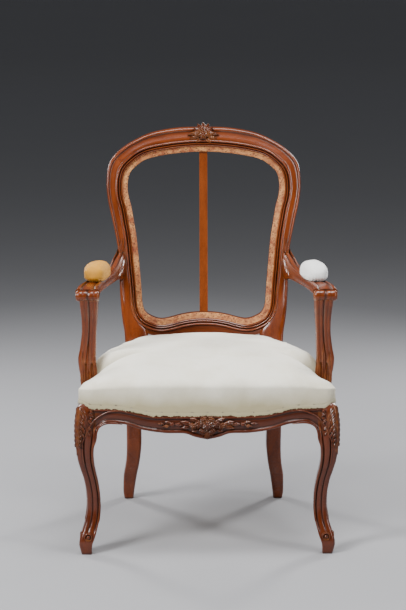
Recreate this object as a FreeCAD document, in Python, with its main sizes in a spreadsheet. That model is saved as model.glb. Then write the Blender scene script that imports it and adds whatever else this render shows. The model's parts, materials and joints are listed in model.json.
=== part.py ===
import FreeCAD, Part
import Sketcher
import math
import os

os.makedirs("parts", exist_ok=True)

# A carved armchair in the Louis XV manner: +X to the right as seen from the front, +Y to the back, +Z up.
# The origin lies on the floor, in the middle of the box round the whole chair.

doc = FreeCAD.newDocument("fauteuil")
sheet = doc.addObject("Spreadsheet::Sheet", "Sizes")

driving_sizes = {
    "total_height": 950.0,
    "total_depth": 592.0,
    "knee_span": 596.0,
    "knee_setback": 3.0,
    "post_span": 600.0,
    "hand_span": 602.0,
    "rail_top": 352.0,
    "rail_bottom": 300.0,
    "rail_thickness": 30.0,
    "apron_drop": 30.0,
    "apron_setback": 9.0,
    "side_bow": 12.0,
    "web_rebate": 15.0,
    "show_edge": 326.0,
    "show_rise": 16.0,
    "leg_block": 46.0,
    "ankle_width": 30.0,
    "toe_width": 23.0,
    "ankle_inset": 24.0,
    "rear_leg_width": 37.0,
    "rear_leg_depth": 36.0,
    "rear_leg_span": 384.0,
    "rear_splay_back": 102.0,
    "rear_splay_out": 15.0,
    "back_rake": 10.8,
    "back_radius": 700.0,
    "back_thickness": 28.0,
    "back_span": 477.0,
    "waist_span": 412.0,
    "shoulder_height": 802.0,
    "frame_top": 936.0,
    "face_width": 51.0,
    "top_face_width": 59.0,
    "tack_strip": 14.0,
    "tack_strip_depth": 5.0,
    "back_rail_top": 486.0,
    "back_rail_height": 52.0,
    "crest_joint_angle": 50.0,
    "batten_width": 20.0,
    "batten_thickness": 8.0,
    "batten_housing": 10.0,
    "arm_underside": 575.0,
    "arm_root_height": 74.0,
    "arm_thickness": 26.0,
    "post_lap": 24.0,
    "post_setback": 160.0,
    "post_foot_depth": 44.0,
    "hand_setback": 112.0,
    "hand_radius": 13.0,
    "pad_length": 116.0,
    "pad_width": 56.0,
    "pad_height": 42.0,
    "pad_turn": 10.0,
    "cover_thickness": 1.6,
    "pad_cover_thickness": 1.2,
    "seat_crown": 92.0,
    "seat_corner_radius": 34.0,
    "hessian_crown": 50.0,
    "hessian_thickness": 1.2,
    "spring_wire": 3.6,
    "spring_radius": 38.0,
    "spring_waist": 24.0,
    "spring_pitch": 96.0,
    "web_width": 50.0,
    "web_thickness": 1.5,
    "web_gap": 24.0,
    "tenon_length": 24.0,
    "tenon_thickness": 9.0,
    "tenon_shoulder": 8.0,
    "peg_diameter": 6.0,
    "block_length": 58.0,
    "block_height": 30.0,
    "screw_diameter": 4.0,
    "screw_head": 8.0,
    "screw_head_depth": 2.5,
    "tack_head": 6.0,
    "tack_head_depth": 1.0,
    "tack_shank": 2.0,
    "tack_length": 9.0,
    "cover_tack_pitch": 36.0,
    "joint_gap": 0.2,
    "soft_gap": 0.4,
}

for row, (alias, number) in enumerate(driving_sizes.items(), start=1):
    sheet.set(f"A{row}", alias)
    sheet.set(f"B{row}", str(number))
    sheet.setAlias(f"B{row}", alias)
doc.recompute()


def size(alias):
    return float(sheet.get(alias))


def vector(x, y, z):
    return FreeCAD.Vector(x, y, z)


# The back is a slice of a cylinder whose axis leans back with the rake, so that it curves round the sitter.

half_depth = size("total_depth") / 2
half_knee = size("knee_span") / 2
rake = math.radians(size("back_rake"))
back_radius = size("back_radius")
back_thickness = size("back_thickness")
rail_top = size("rail_top")
rail_bottom = size("rail_bottom")


def back_front(x, z):
    """The front face of the back at a place in the front view."""
    top_y = half_depth - back_thickness / math.cos(rake)
    centre_y = top_y - (size("total_height") - z) * math.tan(rake)
    sag = back_radius - math.sqrt(back_radius ** 2 - x ** 2)
    return centre_y - sag / math.cos(rake)


def back_middle(x, z):
    return back_front(x, z) + back_thickness / 2 / math.cos(rake)


def leaning_shell(start, end):
    """The layer of the back between two depths behind its front face."""
    lean = vector(0, math.sin(rake), math.cos(rake))
    axis_y = back_front(0, 0) - back_radius / math.cos(rake)
    reach = size("total_height")
    base = vector(0, axis_y, 0) - lean * reach
    outer = Part.makeCylinder(back_radius + end, 3 * reach, base, lean)
    inner = Part.makeCylinder(back_radius + start, 3 * reach, base, lean)
    return outer.cut(inner)


# Elevations are drawn in the XZ plane and plans in the XY plane.

def spline(points):
    curve = Part.BSplineCurve()
    curve.interpolate(points)
    return curve.toShape()


def closed_spline(points):
    curve = Part.BSplineCurve()
    curve.interpolate(points, PeriodicFlag=True)
    return Part.Wire([curve.toShape()])


def both_sides(points):
    """A half outline that starts at the centre line, run from the left end to the right end."""
    left = [(-x, z) for x, z in reversed(points) if x > 0]
    return left + list(points)


def in_elevation(points):
    return [vector(x, 0, z) for x, z in points]


def elevation_prism(wire):
    """The outline carried from well in front of the chair to well behind it."""
    reach = size("total_depth")
    face = Part.Face(wire)
    face.translate(vector(0, -reach, 0))
    return face.extrude(vector(0, 2 * reach, 0))


def polygon(points):
    return Part.makePolygon(list(points) + [points[0]])


def arc(start, middle, end):
    return Part.Arc(start, middle, end).toShape()


def line(start, end):
    return Part.LineSegment(start, end).toShape()


def mirrored(shape):
    return shape.mirror(vector(0, 0, 0), vector(1, 0, 0))


def rounded_loop(half_width, half_height, radius, place):
    """A rectangle with rounded corners; place turns its two coordinates into a point."""
    w, h, r = half_width, half_height, radius
    k = r * (1 - math.sqrt(0.5))
    edges = []
    for sx, sy in ((1, 1), (-1, 1), (-1, -1), (1, -1)):
        first = (sx * w, sy * (h - r)) if sx == sy else (sx * (w - r), sy * h)
        last = (sx * (w - r), sy * h) if sx == sy else (sx * w, sy * (h - r))
        middle = (sx * (w - k), sy * (h - k))
        edges.append((first, middle, last))
    shapes = []
    for index, (first, middle, last) in enumerate(edges):
        following = edges[(index + 1) % 4][0]
        shapes.append(arc(place(*first), place(*middle), place(*last)))
        shapes.append(line(place(*last), place(*following)))
    return Part.Wire(shapes)


def level_section(x, y, z, width, depth, radius):
    return rounded_loop(width / 2, depth / 2, radius, lambda a, b: vector(x + a, y + b, z))


def upright_section(x, y, z, width, height, radius):
    return rounded_loop(width / 2, height / 2, radius, lambda a, b: vector(x + a, y, z + b))


def box_between(low, high):
    span = [b - a for a, b in zip(low, high)]
    return Part.makeBox(*span, vector(*low))


def add_piece(name, shape):
    piece = doc.addObject("Part::Feature", name)
    piece.Label = name
    piece.Shape = shape
    return piece


# Outlines of the back in the front view

half_back = size("back_span") / 2
half_waist = size("waist_span") / 2
half_rear = size("rear_leg_span") / 2
frame_top = size("frame_top")
shoulder = size("shoulder_height")
back_rail_top = size("back_rail_top")
back_rail_bottom = back_rail_top - size("back_rail_height")
waist_height = (back_rail_top + shoulder) / 2 - 100
rail_joint = half_waist - size("face_width") - 4


def frame_outline():
    """The outer edge of stiles and crest, with the small rise that carries the carved flower."""
    half = [
        (0, size("total_height")),
        (24, size("total_height") - 3),
        (42, frame_top + 2),
        (62, frame_top - 1),
        (128, frame_top - 12),
        (half_back - 62, frame_top - 33),
        (half_back - 20, frame_top - 62),
        (half_back - 4, frame_top - 90),
        (half_back, shoulder),
        (half_back - 5, shoulder - 44),
        (half_back - 18, shoulder - 102),
        (half_waist + 3, waist_height + 90),
        (half_waist, waist_height),
        (half_waist - 3, waist_height - 50),
        (half_rear + 4, rail_top + 98),
        (half_rear, rail_top + 8),
        (half_rear, rail_bottom),
    ]
    points = in_elevation(both_sides(half))
    return Part.Wire([spline(points), line(points[-1], points[0])])


def opening_outline():
    """The edge of the open back: a violin shape, its waist as wide as the stiles leave it."""
    inner_back = half_back - size("face_width")
    inner_waist = half_waist - size("face_width")
    top = frame_top - size("top_face_width")
    half = [
        (0, back_rail_top),
        (58, back_rail_top - 6),
        (100, back_rail_top - 15),
        (128, back_rail_top - 8),
        (inner_waist - 7, back_rail_top + 12),
        (inner_waist - 2, waist_height - 8),
        (inner_waist + 4, waist_height + 62),
        (inner_waist + 11, waist_height + 132),
        (inner_back - 9, shoulder - 54),
        (inner_back - 1, shoulder - 16),
        (inner_back - 2, shoulder + 14),
        (inner_back - 20, top - 35),
        (inner_back - 72, top - 11),
        (60, top - 3),
        (0, top),
    ]
    right = in_elevation(half)
    left = [vector(-p.x, 0, p.z) for p in reversed(right) if p.x > 0]
    return closed_spline(right + left)


joint_angle = math.radians(size("crest_joint_angle"))
joint_along = vector(math.cos(joint_angle), 0, math.sin(joint_angle))
joint_across = vector(-math.sin(joint_angle), 0, math.cos(joint_angle))
joint_inside = vector(half_back - 88, 0, shoulder - 12)
joint_outside = joint_inside + joint_along * 150
joint_middle = joint_inside + joint_along * 85

outline_block = elevation_prism(frame_outline())
opening = opening_outline()
offset_edge = Part.Face(opening).makeOffset2D(size("tack_strip")).OuterWire
tack_edge = closed_spline(offset_edge.discretize(49)[:-1])
full_shell = leaning_shell(0, back_thickness)
front_layer = leaning_shell(-4 * back_thickness, size("tack_strip_depth"))
tack_rebate = elevation_prism(tack_edge).common(front_layer)
back_frame = outline_block.common(full_shell).cut(elevation_prism(opening)).cut(tack_rebate)


def tenon(middle, turn, length, thickness, height, grow):
    """A tenon that starts at a joint and runs along +X, turned about Y; grown, it is the mortise."""
    reach = length + grow
    block = Part.makeBox(reach, thickness + 2 * grow, height + 2 * grow)
    block.translate(vector(0, -thickness / 2 - grow, -height / 2 - grow))
    block.rotate(vector(0, 0, 0), vector(0, 1, 0), turn)
    block.translate(middle)
    return block


gap = size("joint_gap")
tenon_length = size("tenon_length")
tenon_thickness = size("tenon_thickness")
peg_radius = size("peg_diameter") / 2

crest_middle = vector(joint_middle.x, back_middle(joint_middle.x, joint_middle.z), joint_middle.z)
crest_tenon_height = size("face_width") / 2
crest_turn = 90 - size("crest_joint_angle")


def crest_tenon(grow):
    return tenon(crest_middle, crest_turn, tenon_length, tenon_thickness, crest_tenon_height, grow)


lower_tenon_z = (back_rail_bottom + back_rail_top) / 2
lower_tenon_height = size("back_rail_height") - 2 * size("tenon_shoulder")
lower_reach = rail_joint + tenon_length / 2
lower_middle = vector(rail_joint, back_middle(lower_reach, lower_tenon_z), lower_tenon_z)


def lower_tenon(grow):
    return tenon(lower_middle, 0, tenon_length, tenon_thickness, lower_tenon_height, grow)


along_x = vector(1, 0, 0)
along_y = vector(0, 1, 0)
across_back = vector(0, math.cos(rake), -math.sin(rake))

# Seat frame lines in plan: the side rails bow outwards between the front leg's block and the rear leg.

leg_block = size("leg_block")
rail_thickness = size("rail_thickness")
front_face = -half_depth
knee_front = front_face + size("knee_setback")
apron_ends = front_face + size("apron_setback")
front_rail_rear = apron_ends + rail_thickness - 5
apron_half = half_knee - leg_block
leg_rear = knee_front + leg_block
rear_width = size("rear_leg_width")
rear_depth = size("rear_leg_depth")
rear_inner = half_rear - rear_width
rear_block_front = back_front(rear_inner, rail_top)
rear_block_rear = rear_block_front + rear_depth
rear_block_middle = rear_block_front + rear_depth / 2
rear_rail_half = rail_thickness / 2 - 3
rear_rail_rear = rear_block_middle + rear_rail_half
side_front = vector(half_knee - 4, leg_rear - 4, 0)
side_rear = vector(half_rear, rear_block_front + 4, 0)


def side_outer(y):
    """How far out the side rail's outer face stands at a place along the seat."""
    share = (y - side_front.y) / (side_rear.y - side_front.y)
    straight = side_front.x + share * (side_rear.x - side_front.x)
    return straight + 4 * size("side_bow") * share * (1 - share)


side_middle_y = (side_front.y + side_rear.y) / 2
side_middle = vector(side_outer(side_middle_y), side_middle_y, 0)


def show_line(x):
    """Height of the cover's lower edge, lowest over the carved middle of the apron."""
    share = (abs(x) - apron_half * 0.45) / (apron_half * 0.4)
    share = min(max(share, 0), 1)
    return size("show_edge") + size("show_rise") * share ** 2 * (3 - 2 * share)


def above_show_line():
    reach = half_knee + 40
    steps = 24
    points = []
    for step in range(steps + 1):
        x = reach * (2 * step / steps - 1)
        points.append(vector(x, 0, show_line(x)))
    top = shoulder
    left_top = vector(-reach, 0, top)
    right_top = vector(reach, 0, top)
    edges = [spline(points), line(points[-1], right_top), line(right_top, left_top)]
    edges.append(line(left_top, points[0]))
    return elevation_prism(Part.Wire(edges))


# The seat's plan, drawn in by different amounts at the front, the sides and the rear

def plan_loop(front_inset, side_inset, rear_inset, z, radius, rear_side_inset):
    lip = 0.5
    r = radius
    front_y = front_face + lip + front_inset
    corner_y = apron_ends + lip + front_inset
    corner_x = half_knee - 6 - side_inset
    rear_y = rear_rail_rear + lip - rear_inset
    rear_x = half_rear - 1 - rear_side_inset
    side_length = rear_y - corner_y
    bow = size("side_bow") * side_length / (rear_rail_rear - apron_ends)
    bow_x = (corner_x + rear_x) / 2 + bow
    k = r * (1 - math.sqrt(0.5))
    right = [
        (corner_x - r, corner_y),
        (corner_x - k, corner_y + k),
        (corner_x, corner_y + r),
        (bow_x, (corner_y + rear_y) / 2),
        (rear_x, rear_y - r),
        (rear_x - k, rear_y - k),
        (rear_x - r, rear_y),
    ]
    a = [vector(x, y, z) for x, y in right]
    b = [vector(-x, y, z) for x, y in right]
    front_arc = arc(b[0], vector(0, front_y, z), a[0])
    right_side = [arc(a[0], a[1], a[2]), arc(a[2], a[3], a[4]), arc(a[4], a[5], a[6])]
    left_side = [arc(b[6], b[5], b[4]), arc(b[4], b[3], b[2]), arc(b[2], b[1], b[0])]
    return Part.Wire([front_arc] + right_side + [line(a[6], b[6])] + left_side)


seat_profile = [
    (0.40, 0, 0, 0),
    (0.50, 4, 2, 1),
    (0.60, 15, 7, 2),
    (0.68, 30, 12, 4),
    (0.76, 50, 20, 7),
    (0.84, 82, 34, 12),
    (0.91, 120, 54, 20),
    (0.96, 158, 82, 34),
    (1.00, 210, 128, 64),
]
hessian_profile = [
    (0.30, 8, 5, 4),
    (0.62, 30, 18, 14),
    (0.86, 66, 42, 32),
    (1.00, 120, 84, 62),
]


def crowned_form(profile, insets, crown, lowered, floor):
    """A crowned cushion, from straight sides on its floor to its top."""
    radius = size("seat_corner_radius")
    front_in, side_in, rear_in = insets
    loops = [plan_loop(front_in, side_in, rear_in, floor, radius, side_in)]
    for share, front, side, rear in profile:
        z = rail_top + share * crown - lowered
        soft = radius + (front + side) * 0.06
        rear_side = side * 0.6 + side_in
        loops.append(plan_loop(front + front_in, side + side_in, rear + rear_in, z, soft, rear_side))
    return Part.makeLoft(loops, True, True)


def hollow_form(profile, thickness, crown, floor):
    """The layer between two crowned forms on one floor, open below."""
    outer = crowned_form(profile[1], profile[0], crown, 0, floor)
    inner_insets = tuple(inset + thickness for inset in profile[0])
    inner = crowned_form(profile[1], inner_insets, crown, thickness, floor)
    faces = [f for f in outer.Faces + inner.Faces if f.BoundBox.ZMax > floor + 0.01]
    floors = [Part.Wire(f.OuterWire) for f in outer.Faces + inner.Faces if f.BoundBox.ZMax <= floor + 0.01]
    shell = Part.Shell(faces + [Part.makeFace(floors, "Part::FaceMakerCheese")])
    shell.sewShape()
    return Part.Solid(shell)


# Front legs: a cabriole whose sections shift along the diagonal

leg_profile = [
    (1.00, 0.25, 0.0, 1.0),
    (0.95, 0.12, 0.0, 1.0),
    (0.89, 0.02, 0.0, 1.0),
    (0.82, 0.00, 0.0, 1.0),
    (0.755, 0.01, 0.2, 0.8),
    (0.69, 0.05, 0.45, 0.55),
    (0.62, 0.19, 0.64, 0.36),
    (0.557, 0.44, 0.82, 0.18),
    (0.49, 0.73, 0.95, 0.05),
    (0.40, 0.95, 1.0, 0.0),
    (0.30, 1.00, 1.0, 0.0),
    (0.22, 0.83, 1.05, 0.0),
    (0.156, 0.54, 1.1, 0.0),
    (0.11, 0.32, 1.12, 0.0),
    (0.07, 0.24, 1.0, 0.0),
]


def front_leg_blank():
    inset = size("ankle_inset")
    loops = []
    for height, drawn_in, ankle_part, block_part in leg_profile:
        width = ankle_part * size("ankle_width") + block_part * leg_block
        x = half_knee - inset * drawn_in - width / 2
        y = knee_front + inset * drawn_in + width / 2
        loops.append(level_section(x, y, rail_top * height, width, width, width * 0.24))
    toe = size("toe_width")
    x = half_knee - inset * 0.46 - toe / 2
    y = knee_front + inset * 0.46 + toe / 2
    loops.append(level_section(x, y, 0, toe, toe, toe * 0.24))
    return Part.makeLoft(loops, True)


rear_profile = [
    (0.00, 1.00, 1.00, 0.62, 0.67),
    (0.06, 0.94, 1.00, 0.76, 0.75),
    (0.19, 0.72, 0.72, 0.90, 0.86),
    (0.27, 0.56, 0.38, 0.92, 0.92),
    (0.35, 0.42, 0.14, 0.95, 0.96),
    (0.45, 0.29, 0.00, 1.00, 1.00),
    (0.60, 0.15, 0.00, 1.00, 1.00),
    (0.80, 0.03, 0.00, 1.00, 1.00),
    (1.02, 0.00, 0.00, 1.00, 1.00),
]


def rear_leg_blank():
    loops = []
    for height, back, out, width_share, depth_share in rear_profile:
        width = rear_width * width_share
        depth = rear_depth * depth_share
        x = half_rear - rear_width / 2 + out * size("rear_splay_out")
        y = rear_block_middle + back * size("rear_splay_back")
        loops.append(level_section(x, y, rail_top * height, width, depth, 6))
    return Part.makeLoft(loops, True)


def stile_zone():
    far = half_back + 60
    return Part.Wire(polygon([
        vector(rear_inner, 0, rail_top - 2),
        vector(rail_joint, 0, back_rail_bottom),
        joint_inside,
        joint_outside,
        vector(far, 0, joint_outside.z),
        vector(far, 0, rail_top - 2),
    ]))


def crest_zone():
    top = size("total_height") + 50
    left = [vector(-p.x, 0, p.z) for p in (joint_inside, joint_outside)]
    corners = [joint_inside, joint_outside, vector(joint_outside.x, 0, top)]
    corners += [vector(-joint_outside.x, 0, top), left[1], left[0]]
    return Part.Wire(polygon(corners))


def lower_rail_zone():
    ends = back_rail_bottom - 6
    top = waist_height
    low_left = vector(-rail_joint, 0, ends)
    low_right = vector(rail_joint, 0, ends)
    high_right = vector(rail_joint, 0, top)
    high_left = vector(-rail_joint, 0, top)
    edges = [arc(low_left, vector(0, 0, back_rail_bottom), low_right)]
    edges += [line(low_right, high_right), line(high_right, high_left), line(high_left, low_left)]
    return Part.Wire(edges)


leg = front_leg_blank()
rear_leg = rear_leg_blank().fuse(back_frame.common(elevation_prism(stile_zone())))
crest = back_frame.common(elevation_prism(crest_zone())).fuse(crest_tenon(0))
crest = crest.fuse(mirrored(crest_tenon(0)))
lower_rail = back_frame.common(elevation_prism(lower_rail_zone())).fuse(lower_tenon(0))
lower_rail = lower_rail.fuse(mirrored(lower_tenon(0)))

# Rails of the seat

rail_middle = (rail_top + rail_bottom) / 2
tenon_height = rail_top - rail_bottom - 2 * size("tenon_shoulder")
side_tenon_front_x = side_front.x - rail_thickness / 2
side_tenon_rear_x = side_rear.x - rail_thickness / 2
half_tenon = tenon_thickness / 2
front_tenon_end = side_tenon_front_x - half_tenon - 1.5
rear_tenon_end = side_tenon_rear_x - half_tenon - 1.5
front_tenon_y = (apron_ends + front_rail_rear) / 2


def tenon_box(low, high, grow):
    g = grow
    return box_between([v - g for v in low], [v + g for v in high])


def front_rail_tenon(grow):
    low = (apron_half - 14, front_tenon_y - half_tenon, rail_middle - tenon_height / 2)
    high = (front_tenon_end, front_tenon_y + half_tenon, rail_middle + tenon_height / 2)
    return tenon_box(low, high, grow)


def rear_rail_tenon(grow):
    low = (rear_inner - 6, rear_block_middle - half_tenon, rail_middle - tenon_height / 2)
    high = (rear_tenon_end, rear_block_middle + half_tenon, rail_middle + tenon_height / 2)
    return tenon_box(low, high, grow)


def side_rail_front_tenon(grow):
    x = side_tenon_front_x
    low = (x - half_tenon, leg_rear - tenon_length, rail_middle - tenon_height / 2)
    high = (x + half_tenon, leg_rear + 8, rail_middle + tenon_height / 2)
    return tenon_box(low, high, grow)


def side_rail_rear_tenon(grow):
    x = side_tenon_rear_x
    low = (x - half_tenon, rear_block_front - 8, rail_middle - tenon_height / 2)
    high = (x + half_tenon, rear_block_front + tenon_length, rail_middle + tenon_height / 2)
    return tenon_box(low, high, grow)


def front_rail_blank():
    reach = apron_half + 8
    low = rail_bottom - size("apron_drop")
    half = [
        (0, low),
        (28, low + 6),
        (52, low + 14),
        (96, low + 15),
        (145, low + 22),
        (apron_half - 68, rail_bottom + 4),
        (apron_half - 27, rail_bottom + 7),
        (apron_half - 9, rail_bottom - 1),
        (reach, rail_bottom - 16),
    ]
    points = in_elevation(both_sides(half))
    left_top = vector(-reach, 0, rail_top)
    right_top = vector(reach, 0, rail_top)
    edges = [spline(points), line(points[-1], right_top), line(right_top, left_top)]
    edges.append(line(left_top, points[0]))
    elevation = elevation_prism(Part.Wire(edges))
    left = vector(-reach, apron_ends, 0)
    right = vector(reach, apron_ends, 0)
    left_rear = vector(-reach, front_rail_rear, 0)
    right_rear = vector(reach, front_rail_rear, 0)
    plan = [arc(left, vector(0, front_face, 0), right), line(right, right_rear)]
    plan += [line(right_rear, left_rear), line(left_rear, left)]
    body = Part.Face(Part.Wire(plan)).extrude(vector(0, 0, rail_top))
    rebate_low = (-reach, front_rail_rear - size("web_rebate"), 0)
    rebate_high = (reach, front_rail_rear + 1, rail_bottom)
    return body.common(elevation).cut(box_between(rebate_low, rebate_high))


def side_rail_blank():
    inward = vector(-rail_thickness, 0, 0)
    front_in = side_front + inward
    rear_in = side_rear + inward
    plan = [arc(side_front, side_middle, side_rear), line(side_rear, rear_in)]
    plan += [arc(rear_in, side_middle + inward, front_in), line(front_in, side_front)]
    face = Part.Face(Part.Wire(plan))
    face.translate(vector(0, 0, rail_bottom))
    return face.extrude(vector(0, 0, rail_top - rail_bottom))


def rear_rail_blank():
    low = (-rear_inner - 4, rear_block_middle - rear_rail_half, rail_bottom)
    high = (rear_inner + 4, rear_rail_rear, rail_top)
    return box_between(low, high)


front_rail = front_rail_blank().cut(leg).cut(mirrored(leg)).fuse(front_rail_tenon(0))
front_rail = front_rail.fuse(mirrored(front_rail_tenon(0)))
rear_rail = rear_rail_blank().cut(rear_leg).cut(mirrored(rear_leg)).fuse(rear_rail_tenon(0))
rear_rail = rear_rail.fuse(mirrored(rear_rail_tenon(0)))
side_rail = side_rail_blank().cut(leg).cut(rear_leg)
side_rail = side_rail.fuse(side_rail_front_tenon(0)).fuse(side_rail_rear_tenon(0))

# Arms: a swept rail from the stile to the rolled hand, on a post that laps the side rail

arm_underside = size("arm_underside")
hand_width = size("pad_width") + 1
hand_x = size("hand_span") / 2 - hand_width / 2
hand_y = front_face + size("hand_setback")
root_x = half_waist - 3
root_z = arm_underside + 29
root_y = back_middle(root_x, root_z)
post_outer = size("post_span") / 2
post_y = front_face + size("post_setback")

arm_profile = [
    (0.00, 0.00, 29, 26, 1.0, 0.0),
    (0.105, 0.13, 25, 27, 0.55, 0.45),
    (0.23, 0.23, 22, 28, 0.22, 0.78),
    (0.41, 0.40, 20.5, 34, 0.02, 1.0),
    (0.60, 0.63, 19.5, 40, 0.0, 1.0),
    (0.77, 0.82, 18.5, 44, 0.0, 1.02),
    (0.92, 0.965, 16, 50, 0.0, 1.1),
    (1.00, 1.00, 12, 56, 0.0, 0.95),
]


def arm_place(along, across):
    x = root_x + across * (hand_x - root_x)
    y = root_y + along * (hand_y - root_y)
    return x, y


def arm_blank():
    loops = []
    for along, across, rise, width, root_part, arm_part in arm_profile:
        x, y = arm_place(along, across)
        height = root_part * size("arm_root_height") + arm_part * size("arm_thickness")
        loops.append(upright_section(x, y, arm_underside + rise, width, height, 7))
    radius = size("hand_radius")
    roll_start = vector(hand_x - hand_width / 2, hand_y, arm_underside + 8)
    roll = Part.makeCylinder(radius, hand_width, roll_start, along_x)
    return Part.makeLoft(loops, True).fuse(roll)


post_profile = [
    (0.00, 0, 38, 0.0, 1.0),
    (0.10, 0, 38, 0.0, 1.0),
    (0.225, 0, 43, 0.05, 0.95),
    (0.315, -2, 50, 0.1, 0.86),
    (0.455, 4, 42, 0.17, 0.75),
    (0.60, 10, 40, 0.26, 0.68),
    (0.79, 14, 39, 0.46, 0.68),
    (0.94, 10, 43, 0.72, 0.75),
    (1.04, 8, 45, 0.85, 0.82),
]


def post_blank():
    foot_z = rail_top - size("post_lap")
    loops = []
    for height, inset, width, forward, depth_share in post_profile:
        x = post_outer - inset - width / 2
        y = post_y + forward * (hand_y - post_y)
        z = foot_z + height * (arm_underside - foot_z)
        depth = size("post_foot_depth") * depth_share
        loops.append(level_section(x, y, z, width, depth, 7))
    return Part.makeLoft(loops, True)


pad_x, pad_y = arm_place(0.69, 0.725)
pad_base = arm_underside + 30.5
pad_profile = [
    (-0.50, 0.30, 0.34),
    (-0.42, 0.72, 0.74),
    (-0.25, 0.95, 0.95),
    (0.00, 1.00, 1.00),
    (0.25, 0.95, 0.95),
    (0.42, 0.72, 0.74),
    (0.50, 0.30, 0.34),
]


def place_on_arm(shape):
    shape.rotate(vector(0, 0, 0), vector(0, 0, 1), size("pad_turn"))
    shape.translate(vector(pad_x, pad_y, pad_base))
    return shape


def pad_form(inset, sunk):
    """A stuffed elbow pad: flat below, drawn in at its edge and crowned above."""
    loops = []
    length = size("pad_length") - 2 * inset
    for along, width_share, height_share in pad_profile:
        w = size("pad_width") / 2 * width_share - inset
        top = size("pad_height") * height_share - inset
        y = along * length
        foot_right = vector(0.72 * w, y, -sunk)
        belly_right = vector(w, y, 0.42 * top)
        shoulder_right = vector(0.72 * w, y, 0.82 * top)
        foot_left = vector(-0.72 * w, y, -sunk)
        belly_left = vector(-w, y, 0.42 * top)
        shoulder_left = vector(-0.72 * w, y, 0.82 * top)
        edges = [line(foot_left, foot_right), arc(foot_right, belly_right, shoulder_right)]
        edges += [arc(shoulder_right, vector(0, y, top), shoulder_left)]
        edges += [arc(shoulder_left, belly_left, foot_left)]
        loops.append(Part.Wire(edges))
    return place_on_arm(Part.makeLoft(loops, True))


arm = arm_blank().cut(rear_leg)
pad_seat = Part.makeBox(90, size("pad_length") + 2, 60, vector(-45, -size("pad_length") / 2 - 1, 0))
arm = arm.cut(place_on_arm(pad_seat))
post = post_blank().cut(arm)
pad_cover = pad_form(0, 0).cut(pad_form(size("pad_cover_thickness"), 1))
pad_stuffing = pad_form(size("pad_cover_thickness") + gap, 0)
side_rail = side_rail.cut(post)


# The slat that stiffens the open back, let into crest and lower rail

rail_to_crest = "Sizes.frame_top - Sizes.top_face_width - Sizes.back_rail_top"
batten_foot = "Sizes.back_rail_top - Sizes.batten_housing"
batten = doc.addObject("PartDesign::Body", "back_batten")
batten.Label = "back_batten"
outline = batten.newObject("Sketcher::SketchObject", "BattenOutline")
ground = [f for f in batten.Origin.OriginFeatures if f.Role == "XY_Plane"][0]
outline.AttachmentSupport = [(ground, "")]
outline.MapMode = "FlatFace"
corner = [(-10, -4), (10, -4), (10, 4), (-10, 4)]
for index in range(4):
    start = vector(*corner[index], 0)
    end = vector(*corner[(index + 1) % 4], 0)
    outline.addGeometry(Part.LineSegment(start, end), False)
for index in range(4):
    outline.addConstraint(Sketcher.Constraint("Coincident", index, 2, (index + 1) % 4, 1))
for index, direction in enumerate(["Horizontal", "Vertical", "Horizontal", "Vertical"]):
    outline.addConstraint(Sketcher.Constraint(direction, index))
outline.addConstraint(Sketcher.Constraint("Symmetric", 0, 1, 2, 1, -1, 1))
outline.addConstraint(Sketcher.Constraint("Distance", 0, 20))
outline.renameConstraint(outline.ConstraintCount - 1, "across")
outline.addConstraint(Sketcher.Constraint("Distance", 1, 8))
outline.renameConstraint(outline.ConstraintCount - 1, "through")
outline.setExpression("Constraints.across", "Sizes.batten_width")
outline.setExpression("Constraints.through", "Sizes.batten_thickness")
slat = batten.newObject("PartDesign::Pad", "Slat")
slat.Profile = outline
slat.setExpression("Length", f"({rail_to_crest} + 2 * Sizes.batten_housing) / cos(Sizes.back_rake * 1 deg)")
batten.Placement = FreeCAD.Placement(vector(0, 0, 0), FreeCAD.Rotation(along_x, -size("back_rake")))
batten.setExpression("Placement.Base.z", batten_foot)
batten.setExpression(
    "Placement.Base.y",
    "Sizes.total_depth / 2 - Sizes.back_thickness / 2 / cos(Sizes.back_rake * 1 deg)"
    f" - (Sizes.total_height - ({batten_foot})) * tan(Sizes.back_rake * 1 deg)",
)
doc.recompute()
crest = crest.cut(batten.Shape)
lower_rail = lower_rail.cut(batten.Shape)

# Pegs through the tenons

def bound_cylinder(name, radius, height, base, direction):
    """A cylinder whose radius and height follow the sheet."""
    piece = doc.addObject("Part::Cylinder", name)
    piece.setExpression("Radius", radius)
    piece.setExpression("Height", height)
    piece.Placement = FreeCAD.Placement(base, FreeCAD.Rotation(vector(0, 0, 1), direction))
    return piece


def bound_box(name, length, width, height, corner_point):
    """A box whose three sizes follow the sheet."""
    piece = doc.addObject("Part::Box", name)
    piece.setExpression("Length", length)
    piece.setExpression("Width", width)
    piece.setExpression("Height", height)
    piece.Placement = FreeCAD.Placement(corner_point, FreeCAD.Rotation())
    return piece


def group(name, members):
    piece = doc.addObject("Part::Compound", name)
    piece.Label = name
    piece.Links = members
    doc.recompute()
    return piece


def flipped(v):
    return vector(-v.x, v.y, v.z)


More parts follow.
